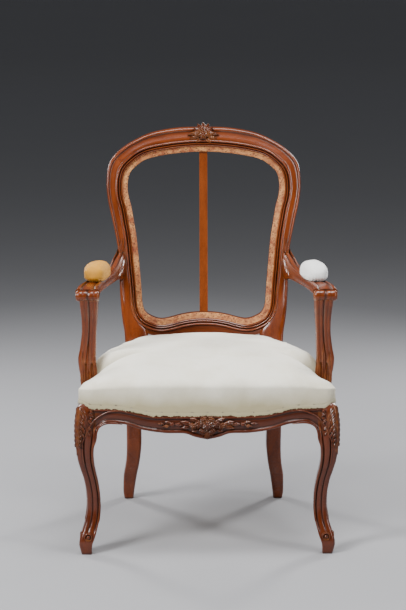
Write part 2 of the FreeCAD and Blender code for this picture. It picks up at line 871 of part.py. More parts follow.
proud = 1.0
peg_rise = tenon_height / 2 - peg_radius - 5
across_start = across_back * (back_thickness / 2 + proud)
through_back = "Sizes.back_thickness + 2"
through_leg = "Sizes.leg_block * 0.75"
into_stile = "Sizes.rear_leg_width * 0.65"
peg_starts = [
    (crest_middle - joint_across * (tenon_length / 2) - across_start, across_back, through_back),
    (lower_middle + along_x * (tenon_length / 2) - across_start, across_back, through_back),
]
front_peg_x = (apron_half + front_tenon_end) / 2
side_peg_y = leg_rear - tenon_length / 2
stile_peg_y = rear_block_front + peg_radius + 3
rear_peg_x = (rear_inner + rear_tenon_end) / 2
for z in (rail_middle - peg_rise, rail_middle + peg_rise):
    peg_starts.append((vector(front_peg_x, knee_front + proud / 2, z), along_y, through_leg))
    peg_starts.append((vector(half_knee - proud, side_peg_y, z), -along_x, through_leg))
    peg_starts.append((vector(half_rear + proud / 2, stile_peg_y, z), -along_x, into_stile))
    peg_starts.append((vector(rear_peg_x, rear_block_rear + proud / 2, z), -along_y, into_stile))
pegs = []
for index, (start, direction, length) in enumerate(peg_starts):
    pegs.append(bound_cylinder(f"PegRight{index}", "Sizes.peg_diameter / 2", length, start, direction))
    pegs.append(bound_cylinder(f"PegLeft{index}", "Sizes.peg_diameter / 2", length, flipped(start), flipped(direction)))
joint_pegs = group("joint_pegs", pegs)
peg_block = joint_pegs.Shape

# Glued blocks brace the corners of the seat frame, each held by a screw into the leg

block_length = size("block_length")
block_low = rail_middle - size("block_height") / 2
screw_radius = size("screw_diameter") / 2
head_radius = size("screw_head") / 2


def corner_block(corner_x, corner_y, toward_y):
    corners = [
        vector(corner_x - block_length, corner_y, block_low),
        vector(corner_x, corner_y, block_low),
        vector(corner_x, corner_y + toward_y * block_length, block_low),
    ]
    return Part.Face(Part.Wire(polygon(corners))).extrude(vector(0, 0, size("block_height")))


def screw(start, direction, length):
    shank = Part.makeCylinder(screw_radius, length, start, direction)
    head_depth = size("screw_head_depth")
    head = Part.makeCone(head_radius, screw_radius, head_depth, start, direction)
    return shank.fuse(head)


front_corner_x = side_outer(leg_rear) - rail_thickness + 6
front_block = corner_block(front_corner_x, front_rail_rear, 1).cut(leg).cut(side_rail)
rear_rail_front = rear_block_middle - rear_rail_half
rear_corner_x = side_outer(rear_block_front) - rail_thickness + 8
rear_block = corner_block(rear_corner_x, rear_rail_front, -1).cut(rear_leg).cut(side_rail)
diagonal_out = vector(1, -1, 0).normalize()
diagonal_back = vector(1, 1, 0).normalize()
front_screw_start = vector(front_corner_x - block_length / 2, front_rail_rear + block_length / 2, rail_middle)
rear_screw_start = vector(rear_corner_x - block_length / 2, rear_rail_front - block_length / 2, rail_middle)
front_screw = screw(front_screw_start, diagonal_out, block_length * 0.75)
rear_screw = screw(rear_screw_start, diagonal_back, block_length * 0.75)
block_screws = [front_screw, rear_screw, mirrored(front_screw), mirrored(rear_screw)]
front_block = front_block.cut(front_screw)
rear_block = rear_block.cut(rear_screw)
corner_blocks = [front_block, rear_block, mirrored(front_block), mirrored(rear_block)]

post_screw_z = rail_top - size("post_lap") / 2
post_screws = []
for offset in (-size("post_foot_depth") / 4, size("post_foot_depth") / 4):
    y = post_y + offset
    start = vector(side_outer(y) - rail_thickness + 0.5, y, post_screw_z)
    post_screws.append(screw(start, along_x, post_outer - 8 - start.x))
for piece in post_screws:
    side_rail = side_rail.cut(piece)
    post = post.cut(piece)
post_screws += [mirrored(piece) for piece in post_screws]

# Under the seat: woven straps, and nine hourglass springs that stand on them

web_width = size("web_width")
web_thickness = size("web_thickness")
strap_count = 5
strap_front = front_rail_rear - size("web_rebate") + 2
strap_rear = rear_rail_rear - 3
lengthwise_pitch = (rear_inner - 6 - web_width / 2) / 2
crosswise_pitch = web_width + size("web_gap")
lengthwise = []
for index in range(strap_count):
    x = (index - 2) * lengthwise_pitch
    corner_point = vector(x - web_width / 2, strap_front, rail_bottom - web_thickness)
    reach = f"{strap_rear - strap_front:.4f} mm"
    lengthwise.append(bound_box(f"Strap{index}", "Sizes.web_width", reach, "Sizes.web_thickness", corner_point))
lengthwise_straps = group("LengthwiseStraps", lengthwise)
crosswise_middle = (leg_rear + rear_block_front) / 2
crosswise_places = [crosswise_middle + (index - 2) * crosswise_pitch for index in range(strap_count)]
strap_edge = 2 * lengthwise_pitch + web_width / 2


def crosswise_strap(y):
    """A strap that dips under the lengthwise ones and rises to the side rails."""
    reach = side_outer(y + web_width / 2) - 4
    upper = [
        (strap_edge + 1, rail_bottom - web_thickness),
        (strap_edge + 9, rail_bottom),
        (reach, rail_bottom),
    ]
    upper = both_sides(upper)
    lower = [(x, z - web_thickness) for x, z in reversed(upper)]
    face = Part.Face(Part.Wire(polygon(in_elevation(upper + lower))))
    face.translate(vector(0, y - web_width / 2, 0))
    return face.extrude(vector(0, web_width, 0))


crosswise = [crosswise_strap(y) for y in crosswise_places]


def two_arcs(start, start_way, end, end_way):
    """A pair of arcs that leaves one point and reaches the next along the given ways."""
    span = end - start
    both_ways = start_way + end_way
    spread = 2 * (1 - start_way.dot(end_way))
    along = span.dot(both_ways)
    reach = (math.sqrt(along ** 2 + spread * span.dot(span)) - along) / spread
    meet = (start + end + (start_way - end_way) * reach) * 0.5
    edges = []
    for first, last, way, sign in ((start, meet, start_way, 1), (meet, end, end_way, -1)):
        chord = last - first
        unit = chord * (1 / chord.Length)
        side = (way - unit * way.dot(unit)) * sign
        turn = math.atan2(side.Length, way.dot(unit))
        bulge = side.normalize() * (chord.Length / 2 * math.tan(turn / 2))
        edges.append(arc(first, (first + last) * 0.5 + bulge, last))
    return edges


spring_turns = 5
spring_wire = size("spring_wire")
spring_base = rail_bottom + 0.1 + spring_wire / 2
spring_top = rail_top + size("hessian_crown") - 7 - spring_wire / 2


def spring_point(turns):
    """A place on the wire's middle line: wide rings at both ends, a waist between."""
    share = turns / spring_turns
    waist = size("spring_waist")
    radius = waist + (size("spring_radius") - waist) * abs(2 * share - 1) ** 1.6
    angle = 2 * math.pi * turns
    return vector(radius * math.cos(angle), radius * math.sin(angle), spring_base + share * (spring_top - spring_base))


def spring():
    step = 0.001
    places = [turns / 4 for turns in range(4 * spring_turns + 1)]
    points = [spring_point(t) for t in places]
    ways = [(spring_point(t + step) - spring_point(t - step)).normalize() for t in places]
    edges = []
    for index in range(len(points) - 1):
        edges += two_arcs(points[index], ways[index], points[index + 1], ways[index + 1])
    path = Part.Wire(edges)
    profile = Part.Wire([Part.Circle(points[0], ways[0], spring_wire / 2).toShape()])
    shape = path.makePipeShell([profile], True, False)
    least = min(
        (spring_point(t / 40) - spring_point(t / 40 + 1)).Length - spring_wire
        for t in range(40 * (spring_turns - 1))
    )
    length = sum(edge.Length for edge in edges)
    section = math.pi * spring_wire ** 2 / 4
    print(f"spring: least gap {least:.2f} mm, volume over section times length {shape.Volume / section / length:.4f}")
    return shape


one_spring = spring()
spring_middle_y = crosswise_middle + 36
springs = []
for row in (-1, 0, 1):
    for column in (-1, 0, 1):
        piece = one_spring.copy()
        piece.translate(vector(column * size("spring_pitch"), spring_middle_y + row * size("spring_pitch"), 0))
        springs.append(piece)

# Upholstery: hessian over the springs, stuffing, and the plain cloth that is tacked along the show line

cover_thickness = size("cover_thickness")
soft_gap = size("soft_gap")
crown = size("seat_crown")
show_block = above_show_line()
rebate = cover_thickness + gap
inner_loop = plan_loop(rebate, rebate, rebate, 0, size("seat_corner_radius"), rebate)
inside_cover = Part.Face(inner_loop).extrude(vector(0, 0, rail_top + 20))
cloth_rebate = show_block.cut(inside_cover)
leg = leg.cut(cloth_rebate)
front_rail = front_rail.cut(cloth_rebate)
side_rail = side_rail.cut(cloth_rebate)
rear_rail = rear_rail.cut(cloth_rebate)

far_x = half_knee + 60
stile_cut = elevation_prism(Part.Wire(polygon([
    vector(rail_joint - soft_gap, 0, 0),
    vector(far_x, 0, 0),
    vector(far_x, 0, shoulder),
    vector(rail_joint - soft_gap, 0, shoulder),
])))
stile_notch = stile_cut.common(leaning_shell(-soft_gap, 6 * back_thickness))
post_inner = post_outer + 2 - 50 - soft_gap
post_half = size("post_foot_depth") / 2 + soft_gap
post_notch = box_between((post_inner, post_y - post_half - 1, 0), (far_x, post_y + post_half, shoulder))
notches = []
for notch in (stile_notch, post_notch):
    notches += [notch, mirrored(notch)]


def fitted(shape):
    """The soft piece, cut out round the stiles and the arm posts."""
    for notch in notches:
        shape = shape.cut(notch)
    return shape


hessian_inset = 10
hessian_crown = size("hessian_crown")
hessian_insets = (hessian_inset, hessian_inset, hessian_inset)
hessian = fitted(hollow_form((hessian_insets, hessian_profile), size("hessian_thickness"), hessian_crown, rail_top))
lining = cover_thickness + soft_gap
settled = 4
past_posts = half_knee - 6 - post_inner - 14
past_stiles = rear_rail_rear - back_front(half_rear, rail_top) + 2
stuffing_insets = (lining, past_posts, past_stiles)
over_hessian = tuple(inset - gap for inset in hessian_insets)
stuffing = crowned_form(seat_profile, stuffing_insets, crown - settled, lining, rail_top)
stuffing = stuffing.cut(crowned_form(hessian_profile, over_hessian, hessian_crown + gap, 0, rail_top - 8))
cover = hollow_form(((0, 0, 0), seat_profile), cover_thickness, crown, rail_bottom + 10)
cover = fitted(cover.common(show_block))

# Tacks hold the cloth along its edge and the straps under the rails

def tack(point, outward):
    head = Part.makeCylinder(size("tack_head") / 2, size("tack_head_depth"), point, outward)
    shank = Part.makeCylinder(size("tack_shank") / 2, size("tack_length"), point, -outward)
    return head.fuse(shank)


tack_rise = size("tack_head") / 2 + 2.5
tack_pitch = size("cover_tack_pitch")
seam_x = half_knee - 6 - size("seat_corner_radius")
cover_tacks = []


def tack_row(start, middle, end, skip_low, skip_high):
    """Tacks evenly along an arc of the cover's edge, leaving out one stretch."""
    curve = Part.Arc(start, middle, end)
    length = curve.toShape().Length
    count = int(length / tack_pitch)
    for index in range(count + 1):
        share = (index + 0.5) / (count + 1)
        turn = curve.FirstParameter + share * (curve.LastParameter - curve.FirstParameter)
        point = curve.value(turn)
        if skip_low < point.y < skip_high:
            continue
        way = curve.tangent(turn)[0]
        outward = vector(way.y, -way.x, 0).normalize()
        if outward.dot(point) < 0:
            outward = -outward
        lifted = vector(point.x, point.y, show_line(point.x) + tack_rise)
        cover_tacks.append(tack(lifted, outward))


cover_front = front_face + 0.5
cover_corner = apron_ends + 0.5
tack_row(
    vector(-seam_x, cover_corner, 0),
    vector(0, cover_front, 0),
    vector(seam_x, cover_corner, 0),
    1,
    0,
)
side_start = vector(half_knee - 6, cover_corner + size("seat_corner_radius"), 0)
side_end = vector(half_rear - 1, rear_rail_rear + 0.5 - size("seat_corner_radius"), 0)
bowed = (side_start + side_end) * 0.5 + along_x * size("side_bow")
skip = (post_y - post_half - 6, post_y + post_half + 5)
tack_row(side_start, bowed, side_end, *skip)
tack_row(flipped(side_start), flipped(bowed), flipped(side_end), *skip)
rear_count = int(2 * rear_inner / tack_pitch)
for index in range(rear_count):
    x = (index - (rear_count - 1) / 2) * tack_pitch
    cover_tacks.append(tack(vector(x, rear_rail_rear + 0.5, show_line(x) + tack_rise), along_y))
cover_tack_block = Part.makeCompound(cover_tacks)

web_tacks = []
down = vector(0, 0, -1)
tack_spread = web_width / 2 - 8
for index in range(strap_count):
    x = (index - 2) * lengthwise_pitch
    for y in (front_rail_rear - size("web_rebate") / 2, rear_block_middle):
        for offset in (-tack_spread, 0, tack_spread):
            web_tacks.append(tack(vector(x + offset, y, rail_bottom - web_thickness), down))
for place in crosswise_places:
    for offset in (-tack_spread, 0, tack_spread):
        x = side_outer(place + offset) - rail_thickness / 2
        for side in (-1, 1):
            web_tacks.append(tack(vector(side * x, place + offset, rail_bottom - web_thickness), down))
web_tack_block = Part.makeCompound(web_tacks)

# Holes for pegs, screws and tacks, then the mortises

leg = leg.cut(front_rail_tenon(gap)).cut(side_rail_front_tenon(gap)).cut(peg_block).cut(front_screw)
rear_leg = rear_leg.cut(crest_tenon(gap)).cut(lower_tenon(gap)).cut(side_rail_rear_tenon(gap))
rear_leg = rear_leg.cut(rear_rail_tenon(gap)).cut(peg_block).cut(rear_screw)
crest = crest.cut(peg_block)
lower_rail = lower_rail.cut(peg_block)
front_rail = front_rail.cut(peg_block).cut(cover_tack_block).cut(web_tack_block)
side_rail = side_rail.cut(peg_block).cut(cover_tack_block).cut(web_tack_block)
rear_rail = rear_rail.cut(cover_tack_block).cut(web_tack_block)
leg = leg.cut(cover_tack_block)
cover = cover.cut(cover_tack_block)
strap_block = lengthwise_straps.Shape.cut(web_tack_block)
crosswise_block = Part.makeCompound(crosswise).cut(web_tack_block)

add_piece("front_leg_right", leg)
add_piece("front_leg_left", mirrored(leg))
add_piece("rear_leg_right", rear_leg)
add_piece("rear_leg_left", mirrored(rear_leg))
add_piece("crest_rail", crest)
add_piece("lower_back_rail", lower_rail)
add_piece("front_seat_rail", front_rail)
add_piece("rear_seat_rail", rear_rail)
add_piece("side_seat_rail_right", side_rail)
add_piece("side_seat_rail_left", mirrored(side_rail))
add_piece("arm_right", arm)
add_piece("arm_left", mirrored(arm))
add_piece("arm_post_right", post)
add_piece("arm_post_left", mirrored(post))
add_piece("arm_post_screws", Part.makeCompound(post_screws))
add_piece("arm_pad_stuffing_right", pad_stuffing)
add_piece("arm_pad_stuffing_left", mirrored(pad_stuffing))
add_piece("arm_pad_cover_right", pad_cover)
add_piece("arm_pad_cover_left", mirrored(pad_cover))
add_piece("corner_blocks", Part.makeCompound(corner_blocks))
add_piece("corner_block_screws", Part.makeCompound(block_screws))
add_piece("webbing_lengthwise", strap_block)
add_piece("webbing_crosswise", crosswise_block)
add_piece("webbing_tacks", web_tack_block)
add_piece("seat_springs", Part.makeCompound(springs))
add_piece("seat_hessian", hessian)
add_piece("seat_stuffing", stuffing)
add_piece("seat_cover", cover)
add_piece("cover_tacks", cover_tack_block)
doc.recompute()

kept = [o for o in doc.Objects if o.Label.islower() and hasattr(o, "Shape")]
for piece in kept:
    shape = piece.Shape
    print(f"{piece.Label:24} solids {len(shape.Solids):3} volume {shape.Volume / 1000:9.2f} cm3 valid {shape.isValid()}")
    for state in piece.State:
        if state in ("Invalid", "Error"):
            raise ValueError(f"{piece.Label} is {state}")
    if shape.isNull() or not shape.isValid():
        raise ValueError(f"{piece.Label} has no valid shape")
    if not all(shell.isClosed() for shell in shape.Shells):
        raise ValueError(f"{piece.Label} is open")
    shape.exportStep(f"parts/{piece.Label}.step")
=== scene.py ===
import bpy
import bmesh
import json
import math
import random
from mathutils import Matrix, Vector, noise

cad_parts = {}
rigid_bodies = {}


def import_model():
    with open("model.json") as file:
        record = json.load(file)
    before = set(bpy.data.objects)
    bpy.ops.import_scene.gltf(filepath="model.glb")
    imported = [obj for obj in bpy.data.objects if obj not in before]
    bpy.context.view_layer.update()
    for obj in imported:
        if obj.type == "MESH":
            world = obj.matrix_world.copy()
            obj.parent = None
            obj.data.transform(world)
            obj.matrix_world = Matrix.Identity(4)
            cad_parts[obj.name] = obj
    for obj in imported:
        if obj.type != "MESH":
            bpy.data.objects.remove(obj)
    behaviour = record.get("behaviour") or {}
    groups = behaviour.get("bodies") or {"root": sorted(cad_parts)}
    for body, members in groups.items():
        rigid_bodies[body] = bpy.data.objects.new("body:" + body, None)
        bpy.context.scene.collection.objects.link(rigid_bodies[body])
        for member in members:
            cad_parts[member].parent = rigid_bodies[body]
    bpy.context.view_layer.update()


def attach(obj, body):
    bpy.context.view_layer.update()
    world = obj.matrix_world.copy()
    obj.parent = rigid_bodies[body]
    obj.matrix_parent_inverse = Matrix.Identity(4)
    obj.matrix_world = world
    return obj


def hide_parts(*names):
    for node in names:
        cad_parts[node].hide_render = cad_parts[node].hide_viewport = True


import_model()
random.seed(7)
metre = 0.001  # everything below is laid out in millimetres


# camera and studio

studio = {
    "cameraPlace": (-0.0882, -4.973, 1.30105),
    "cameraPitch": 8.78,
    "cameraYaw": 0.958,
    "lens": 124.8,
    "sensor": 36,
    "farthest": 60,
    "floorColour": (0.34, 0.34, 0.355),
    "skyColour": (0.78, 0.80, 0.84),
    "skyStrength": 0.17,
    "floorReach": 30,
    "floorRim": [  # radius, height
        (34, 0.3), (38, 1.1), (41.5, 2.6), (44.2, 5.0), (46, 8.5), (46.8, 13), (47, 20)],
    "softboxes": [  # place, aim, width, height, watts
        ((-1.9, -2.1, 2.3), (0, 0, 0.55), 0.8, 1.6, 150),
        ((2.2, -1.7, 1.5), (0, 0, 0.55), 0.4, 1.8, 34),
        ((0.3, -0.5, 3.0), (0, 0, 0.4), 1.4, 0.9, 74),
        ((-1.6, 1.7, 1.7), (0, 0, 0.6), 0.4, 1.5, 44),
        ((1.5, 1.9, 1.6), (0, 0, 0.6), 0.4, 1.5, 44),
    ],
}

camera = bpy.data.objects.new("camera", bpy.data.cameras.new("camera"))
camera.location = studio["cameraPlace"]
camera.rotation_euler = (
    math.radians(90 - studio["cameraPitch"]), 0, -math.radians(studio["cameraYaw"]))
camera.data.lens = studio["lens"]
camera.data.sensor_width = studio["sensor"]
camera.data.clip_end = studio["farthest"]
bpy.context.scene.collection.objects.link(camera)
bpy.context.scene.camera = camera

for place, aim, width, height, watts in studio["softboxes"]:
    box = bpy.data.lights.new("softbox", "AREA")
    box.shape = "RECTANGLE"
    box.size = width
    box.size_y = height
    box.energy = watts
    lamp = bpy.data.objects.new("softbox", box)
    lamp.location = place
    lamp.rotation_euler = (Vector(aim) - Vector(place)).to_track_quat("-Z", "Y").to_euler()
    bpy.context.scene.collection.objects.link(lamp)

world = bpy.data.worlds.new("studio")
world.use_nodes = True
world.node_tree.nodes["Background"].inputs["Color"].default_value = (*studio["skyColour"], 1)
world.node_tree.nodes["Background"].inputs["Strength"].default_value = studio["skyStrength"]
bpy.context.scene.world = world
print("studio ready")


# tools for curves and meshes

def splinePoint(a, b, c, d, share):
    # Catmull-Rom between the two middle points
    return (b * 2 + (c - a) * share + (a * 2 - b * 5 + c * 4 - d) * share ** 2
            + (b * 3 - a - c * 3 + d) * share ** 3) * 0.5


def smoothPath(points, count, closed=False):
    # a smooth curve through points of any size, spaced by parameter
    points = [Vector(p) for p in points]
    last = len(points) if closed else len(points) - 1
    result = []
    for step in range(count):
        t = last * step / (count if closed else count - 1)
        index = min(int(t), last - 1)
        share = t - index
        near = []
        for offset in (-1, 0, 1, 2):
            k = index + offset
            if closed:
                near.append(points[k % len(points)])
            elif k < 0:
                near.append(points[0] * 2 - points[1])
            elif k >= len(points):
                near.append(points[-1] * 2 - points[-2])
            else:
                near.append(points[k])
        result.append(splinePoint(*near, share))
    return result


def evenLoop(points, count):
    # the same curve, closed, with its points spaced evenly along it
    fine = smoothPath(points, 24 * len(points), closed=True)
    fine.append(fine[0])
    runs = [0.0]
    for first, second in zip(fine, fine[1:]):
        runs.append(runs[-1] + (second - first).length)
    result = []
    index = 0
    for step in range(count):
        goal = runs[-1] * step / count
        while index < len(runs) - 2 and runs[index + 1] < goal:
            index += 1
        run = max(runs[index + 1] - runs[index], 1e-9)
        result.append(fine[index].lerp(fine[index + 1], (goal - runs[index]) / run))
    return result


def blendTable(table, position):
    # straight reading of rows (position, value, ...)
    if position <= table[0][0]:
        return table[0][1:]
    for low, high in zip(table, table[1:]):
        if position <= high[0]:
            share = (position - low[0]) / (high[0] - low[0])
            return tuple(a + (b - a) * share for a, b in zip(low[1:], high[1:]))
    return table[-1][1:]


def smoothStep(low, high, value):
    share = min(max((value - low) / (high - low), 0), 1)
    return share * share * (3 - 2 * share)


def patinaLayer(mesh):
    # how much old stain lies on each vertex
    return mesh.verts.layers.float.get("patina") or mesh.verts.layers.float.new("patina")


def loft(mesh, rings, closedRing=True, caps=True, marks=None):
    # one ring of edges is extruded on and moved to each place in turn
    mark = patinaLayer(mesh)
    current = [mesh.verts.new(p) for p in rings[0]]
    count = len(current)
    pairs = count if closedRing else count - 1
    edges = [mesh.edges.new((current[i], current[(i + 1) % count])) for i in range(pairs)]
    if marks and not isinstance(marks[0], (list, tuple)):
        marks = [marks] * len(rings)
    if marks:
        for vert, value in zip(current, marks[0]):
            vert[mark] = value
    if caps and closedRing:
        mesh.faces.new(current)
    for step, ring in enumerate(rings[1:], 1):
        made = bmesh.ops.extrude_edge_only(mesh, edges=edges)["geom"]
        fresh = {v for v in made if isinstance(v, bmesh.types.BMVert)}
        following = [next(e.other_vert(vert) for e in vert.link_edges if e.other_vert(vert) in fresh)
                     for vert in current]
        for index, vert in enumerate(following):
            vert.co = ring[index]
            if marks:
                vert[mark] = marks[step][index]
        current = following
        edges = [mesh.edges.get((current[i], current[(i + 1) % count])) for i in range(pairs)]
    if caps and closedRing:
        mesh.faces.new(current)
    return current


def trim(mesh, place, away):
    # cut by a plane, drop the side it points to and close the hole
    cut = bmesh.ops.bisect_plane(
        mesh, geom=mesh.verts[:] + mesh.edges[:] + mesh.faces[:], dist=1e-4,
        plane_co=place, plane_no=away, clear_outer=True)["geom_cut"]
    edges = [e for e in cut if isinstance(e, bmesh.types.BMEdge) and e.is_boundary]
    if edges:
        bmesh.ops.edgenet_fill(mesh, edges=edges)


def mirrorAcross(mesh):
    made = bmesh.ops.duplicate(mesh, geom=mesh.verts[:] + mesh.edges[:] + mesh.faces[:])["geom"]
    verts = [v for v in made if isinstance(v, bmesh.types.BMVert)]
    faces = [f for f in made if isinstance(f, bmesh.types.BMFace)]
    bmesh.ops.scale(mesh, vec=(-1, 1, 1), verts=verts)
    bmesh.ops.reverse_faces(mesh, faces=faces)


def piece(name, mesh, finish, nodes=(), flip=False, sharp=50):
    # the finished mesh in metres, riding on the body, in place of the nodes it stands for
    if flip:
        bmesh.ops.scale(mesh, vec=(-1, 1, 1), verts=mesh.verts)
    bmesh.ops.scale(mesh, vec=(metre, metre, metre), verts=mesh.verts)
    bmesh.ops.remove_doubles(mesh, verts=mesh.verts, dist=1e-6)
    bmesh.ops.recalc_face_normals(mesh, faces=mesh.faces)
    for edge in mesh.edges:
        edge.smooth = len(edge.link_faces) == 2 and edge.calc_face_angle(0) < math.radians(sharp)
    for face in mesh.faces:
        face.smooth = True
    data = bpy.data.meshes.new(name)
    mesh.to_mesh(data)
    mesh.free()
    item = bpy.data.objects.new(name, data)
    bpy.context.scene.collection.objects.link(item)
    data.materials.append(finish)
    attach(item, "root")
    if nodes:
        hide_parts(*nodes)
    return item


def rightAndLeft(name, mesh, finish, node):
    # a piece and its mirrored twin
    twin = mesh.copy()
    return [piece(name + "Right", mesh, finish, [node + "_right"]),
            piece(name + "Left", twin, finish, [node + "_left"], flip=True)]


# materials

def linear(red, green, blue):
    # screen colours to scene light
    def one(value):
        value = value / 255
        return value / 12.92 if value <= 0.04045 else ((value + 0.055) / 1.055) ** 2.4
    return (one(red), one(green), one(blue), 1)


def newGroup(name, inputs, outputs):
    tree = bpy.data.node_groups.new(name, "ShaderNodeTree")
    for label, kind, value in inputs:
        socket = tree.interface.new_socket(label, in_out="INPUT", socket_type=kind)
        socket.default_value = value
    for label, kind in outputs:
        tree.interface.new_socket(label, in_out="OUTPUT", socket_type=kind)
    return tree, tree.nodes.new("NodeGroupInput"), tree.nodes.new("NodeGroupOutput")


class Board:
    # short hand for placing and joining nodes
    def __init__(self, tree):
        self.tree = tree

    def put(self, kind, sources=None, **settings):
        node = self.tree.nodes.new(kind)
        for key, value in settings.items():
            setattr(node, key, value)
        self.feed(node, sources or {})
        return node

    def feed(self, node, sources):
        for key, value in sources.items():
            if isinstance(value, bpy.types.NodeSocket):
                self.link(value, node.inputs[key])
            else:
                node.inputs[key].default_value = value

    def link(self, value, socket):
        self.tree.links.new(value, socket)

    def place(self):
        return self.put("ShaderNodeTexCoord").outputs["Object"]

    def math(self, operation, first, second=0.0, third=0.0):
        sources = {0: first, 1: second, 2: third}
        return self.put("ShaderNodeMath", sources, operation=operation).outputs[0]

    def plus(self, first, second):
        return self.math("ADD", first, second)

    def times(self, first, second):
        return self.math("MULTIPLY", first, second)

    def mix(self, share, first, second, blend="MIX"):
        sources = {0: share, 6: first, 7: second}
        return self.put("ShaderNodeMix", sources, data_type="RGBA", blend_type=blend).outputs[2]

    def noise(self, vector, scale, detail=3.0, rough=0.5):
        sources = {"Vector": vector, "Scale": scale, "Detail": detail, "Roughness": rough}
        return self.put("ShaderNodeTexNoise", sources).outputs["Fac"]

    def span(self, value, low, high, newLow=0.0, newHigh=1.0):
        sources = {0: value, 1: low, 2: high, 3: newLow, 4: newHigh}
        return self.put("ShaderNodeMapRange", sources).outputs[0]

    def crowding(self, reach, samples=6, inside=False):
        sources = {"Distance": reach}
        return self.put("ShaderNodeAmbientOcclusion", sources, samples=samples, inside=inside).outputs["AO"]

    def relief(self, height, strength, distance, shader):
        sources = {"Height": height, "Strength": strength, "Distance": distance}
        self.link(self.put("ShaderNodeBump", sources).outputs[0], shader.inputs["Normal"])


def beechFigure():
    # grain that runs along Z, short flecks, dark stain from the patina marks and painted shade in hollows
    # from an occlusion mask, and rubbed edges
    tree, given, result = newGroup(
        "beechFigure",
        [("Vector", "NodeSocketVector", (0, 0, 0)), ("Light", "NodeSocketColor", (1, 1, 1, 1)),
         ("Dark", "NodeSocketColor", (0, 0, 0, 1)), ("Hollow", "NodeSocketColor", (0, 0, 0, 1)),
         ("Patina", "NodeSocketFloat", 0.0), ("Reach", "NodeSocketFloat", 0.006)],
        [("Color", "NodeSocketColor"), ("Roughness", "NodeSocketFloat"), ("Height", "NodeSocketFloat")])
    b = Board(tree)
    where = given.outputs["Vector"]
    stretched = b.put("ShaderNodeMapping", {"Vector": where, "Scale": (1, 1, 0.07)}).outputs[0]
    fine = b.noise(stretched, 420, 4, 0.6)
    broad = b.noise(stretched, 70, 3, 0.55)
    cloudy = b.noise(where, 9, 2, 0.5)
    fleckMap = b.put("ShaderNodeMapping", {"Vector": where, "Scale": (1, 1, 0.16)}).outputs[0]
    flecks = b.span(b.noise(fleckMap, 900, 1, 0.4), 0.60, 0.72)
    tone = b.plus(b.times(fine, 0.40), b.times(broad, 0.60))
    tone = b.span(b.plus(tone, b.times(cloudy, 0.35)), 0.42, 0.92)
    colour = b.mix(tone, given.outputs["Dark"], given.outputs["Light"])
    colour = b.mix(b.times(flecks, 0.35), colour, given.outputs["Hollow"])
    # painted shade: an occlusion mask darkens the hollows, and is joined with the patina marks of real old
    # stain
    stainAndShade = b.span(b.crowding(given.outputs["Reach"]), 0.45, 0.95, 1.0, 0.0)
    stainAndShade = b.math("MAXIMUM", stainAndShade, given.outputs["Patina"])
    stainAndShade = b.times(stainAndShade, 0.85)
    colour = b.mix(stainAndShade, colour, given.outputs["Hollow"])
    rim = b.crowding(0.0022, inside=True)
    worn = b.times(b.span(rim, 0.35, 0.75, 1.0, 0.0), b.span(b.noise(where, 38, 3), 0.35, 0.65))
    rubbed = b.mix(0.35, given.outputs["Light"], (0.7, 0.30, 0.09, 1))
    colour = b.mix(b.times(worn, 0.38), colour, rubbed)
    rough = b.plus(b.times(cloudy, 0.16), b.times(stainAndShade, 0.22))
    rough = b.plus(rough, b.times(flecks, 0.05))
    b.link(colour, result.inputs["Color"])
    b.link(b.plus(rough, 0.20), result.inputs["Roughness"])
    height = b.plus(b.times(fine, 0.5), b.times(flecks, -0.4))
    height = b.plus(height, b.times(b.noise(where, 60, 2), 0.8))
    b.link(height, result.inputs["Height"])
    return tree


def plainWeave():
    # threads over and under at right angles, with thick places, and soft dirt
    tree, given, result = newGroup(
        "plainWeave",
        [("Vector", "NodeSocketVector", (0, 0, 0)), ("Threads", "NodeSocketFloat", 1200.0),
         ("Light", "NodeSocketColor", (1, 1, 1, 1)), ("Shade", "NodeSocketColor", (0.7, 0.7, 0.7, 1)),
         ("Dirt", "NodeSocketColor", (0.6, 0.6, 0.5, 1)), ("Soil", "NodeSocketFloat", 0.3)],
        [("Color", "NodeSocketColor"), ("Height", "NodeSocketFloat")])
    b = Board(tree)
    where = given.outputs["Vector"]
    wobble = b.put("ShaderNodeTexNoise", {"Vector": where, "Scale": 45.0, "Detail": 1.0}).outputs["Color"]
    bent = b.put("ShaderNodeVectorMath", {0: wobble, 3: 0.0012}, operation="SCALE").outputs[0]
    bent = b.put("ShaderNodeVectorMath", {0: where, 1: bent}, operation="ADD").outputs[0]
    apart = b.put("ShaderNodeSeparateXYZ", {0: bent}).outputs
    lift = b.plus(apart[1], apart[2])
    warp = b.math("SINE", b.times(apart[0], given.outputs["Threads"]))
    weft = b.math("SINE", b.times(lift, given.outputs["Threads"]))
    weave = b.plus(b.times(b.math("ABSOLUTE", warp), 0.5),
                   b.times(b.math("ABSOLUTE", weft), 0.5))
    slub = b.noise(b.put("ShaderNodeMapping", {"Vector": where, "Scale": (1, 0.08, 1)}).outputs[0], 500, 2)
    weave = b.plus(weave, b.times(slub, 0.5))
    colour = b.mix(b.span(weave, 0.35, 1.15), given.outputs["Shade"], given.outputs["Light"])
    dirt = b.span(b.noise(where, 11, 5, 0.62), 0.46, 0.70)
    colour = b.mix(b.times(dirt, given.outputs["Soil"]), colour, given.outputs["Dirt"])
    b.link(colour, result.inputs["Color"])
    b.link(weave, result.inputs["Height"])
    return tree


figureGroup = beechFigure()
weaveGroup = plainWeave()


def newMaterial(name, roughness=0.5, **shaderValues):
    material = bpy.data.materials.new(name)
    material.use_nodes = True
    shader = material.node_tree.nodes["Principled BSDF"]
    shader.inputs["Roughness"].default_value = roughness
    for key, value in shaderValues.items():
        shader.inputs[key.replace("_", " ")].default_value = value
    return material, Board(material.node_tree), shader


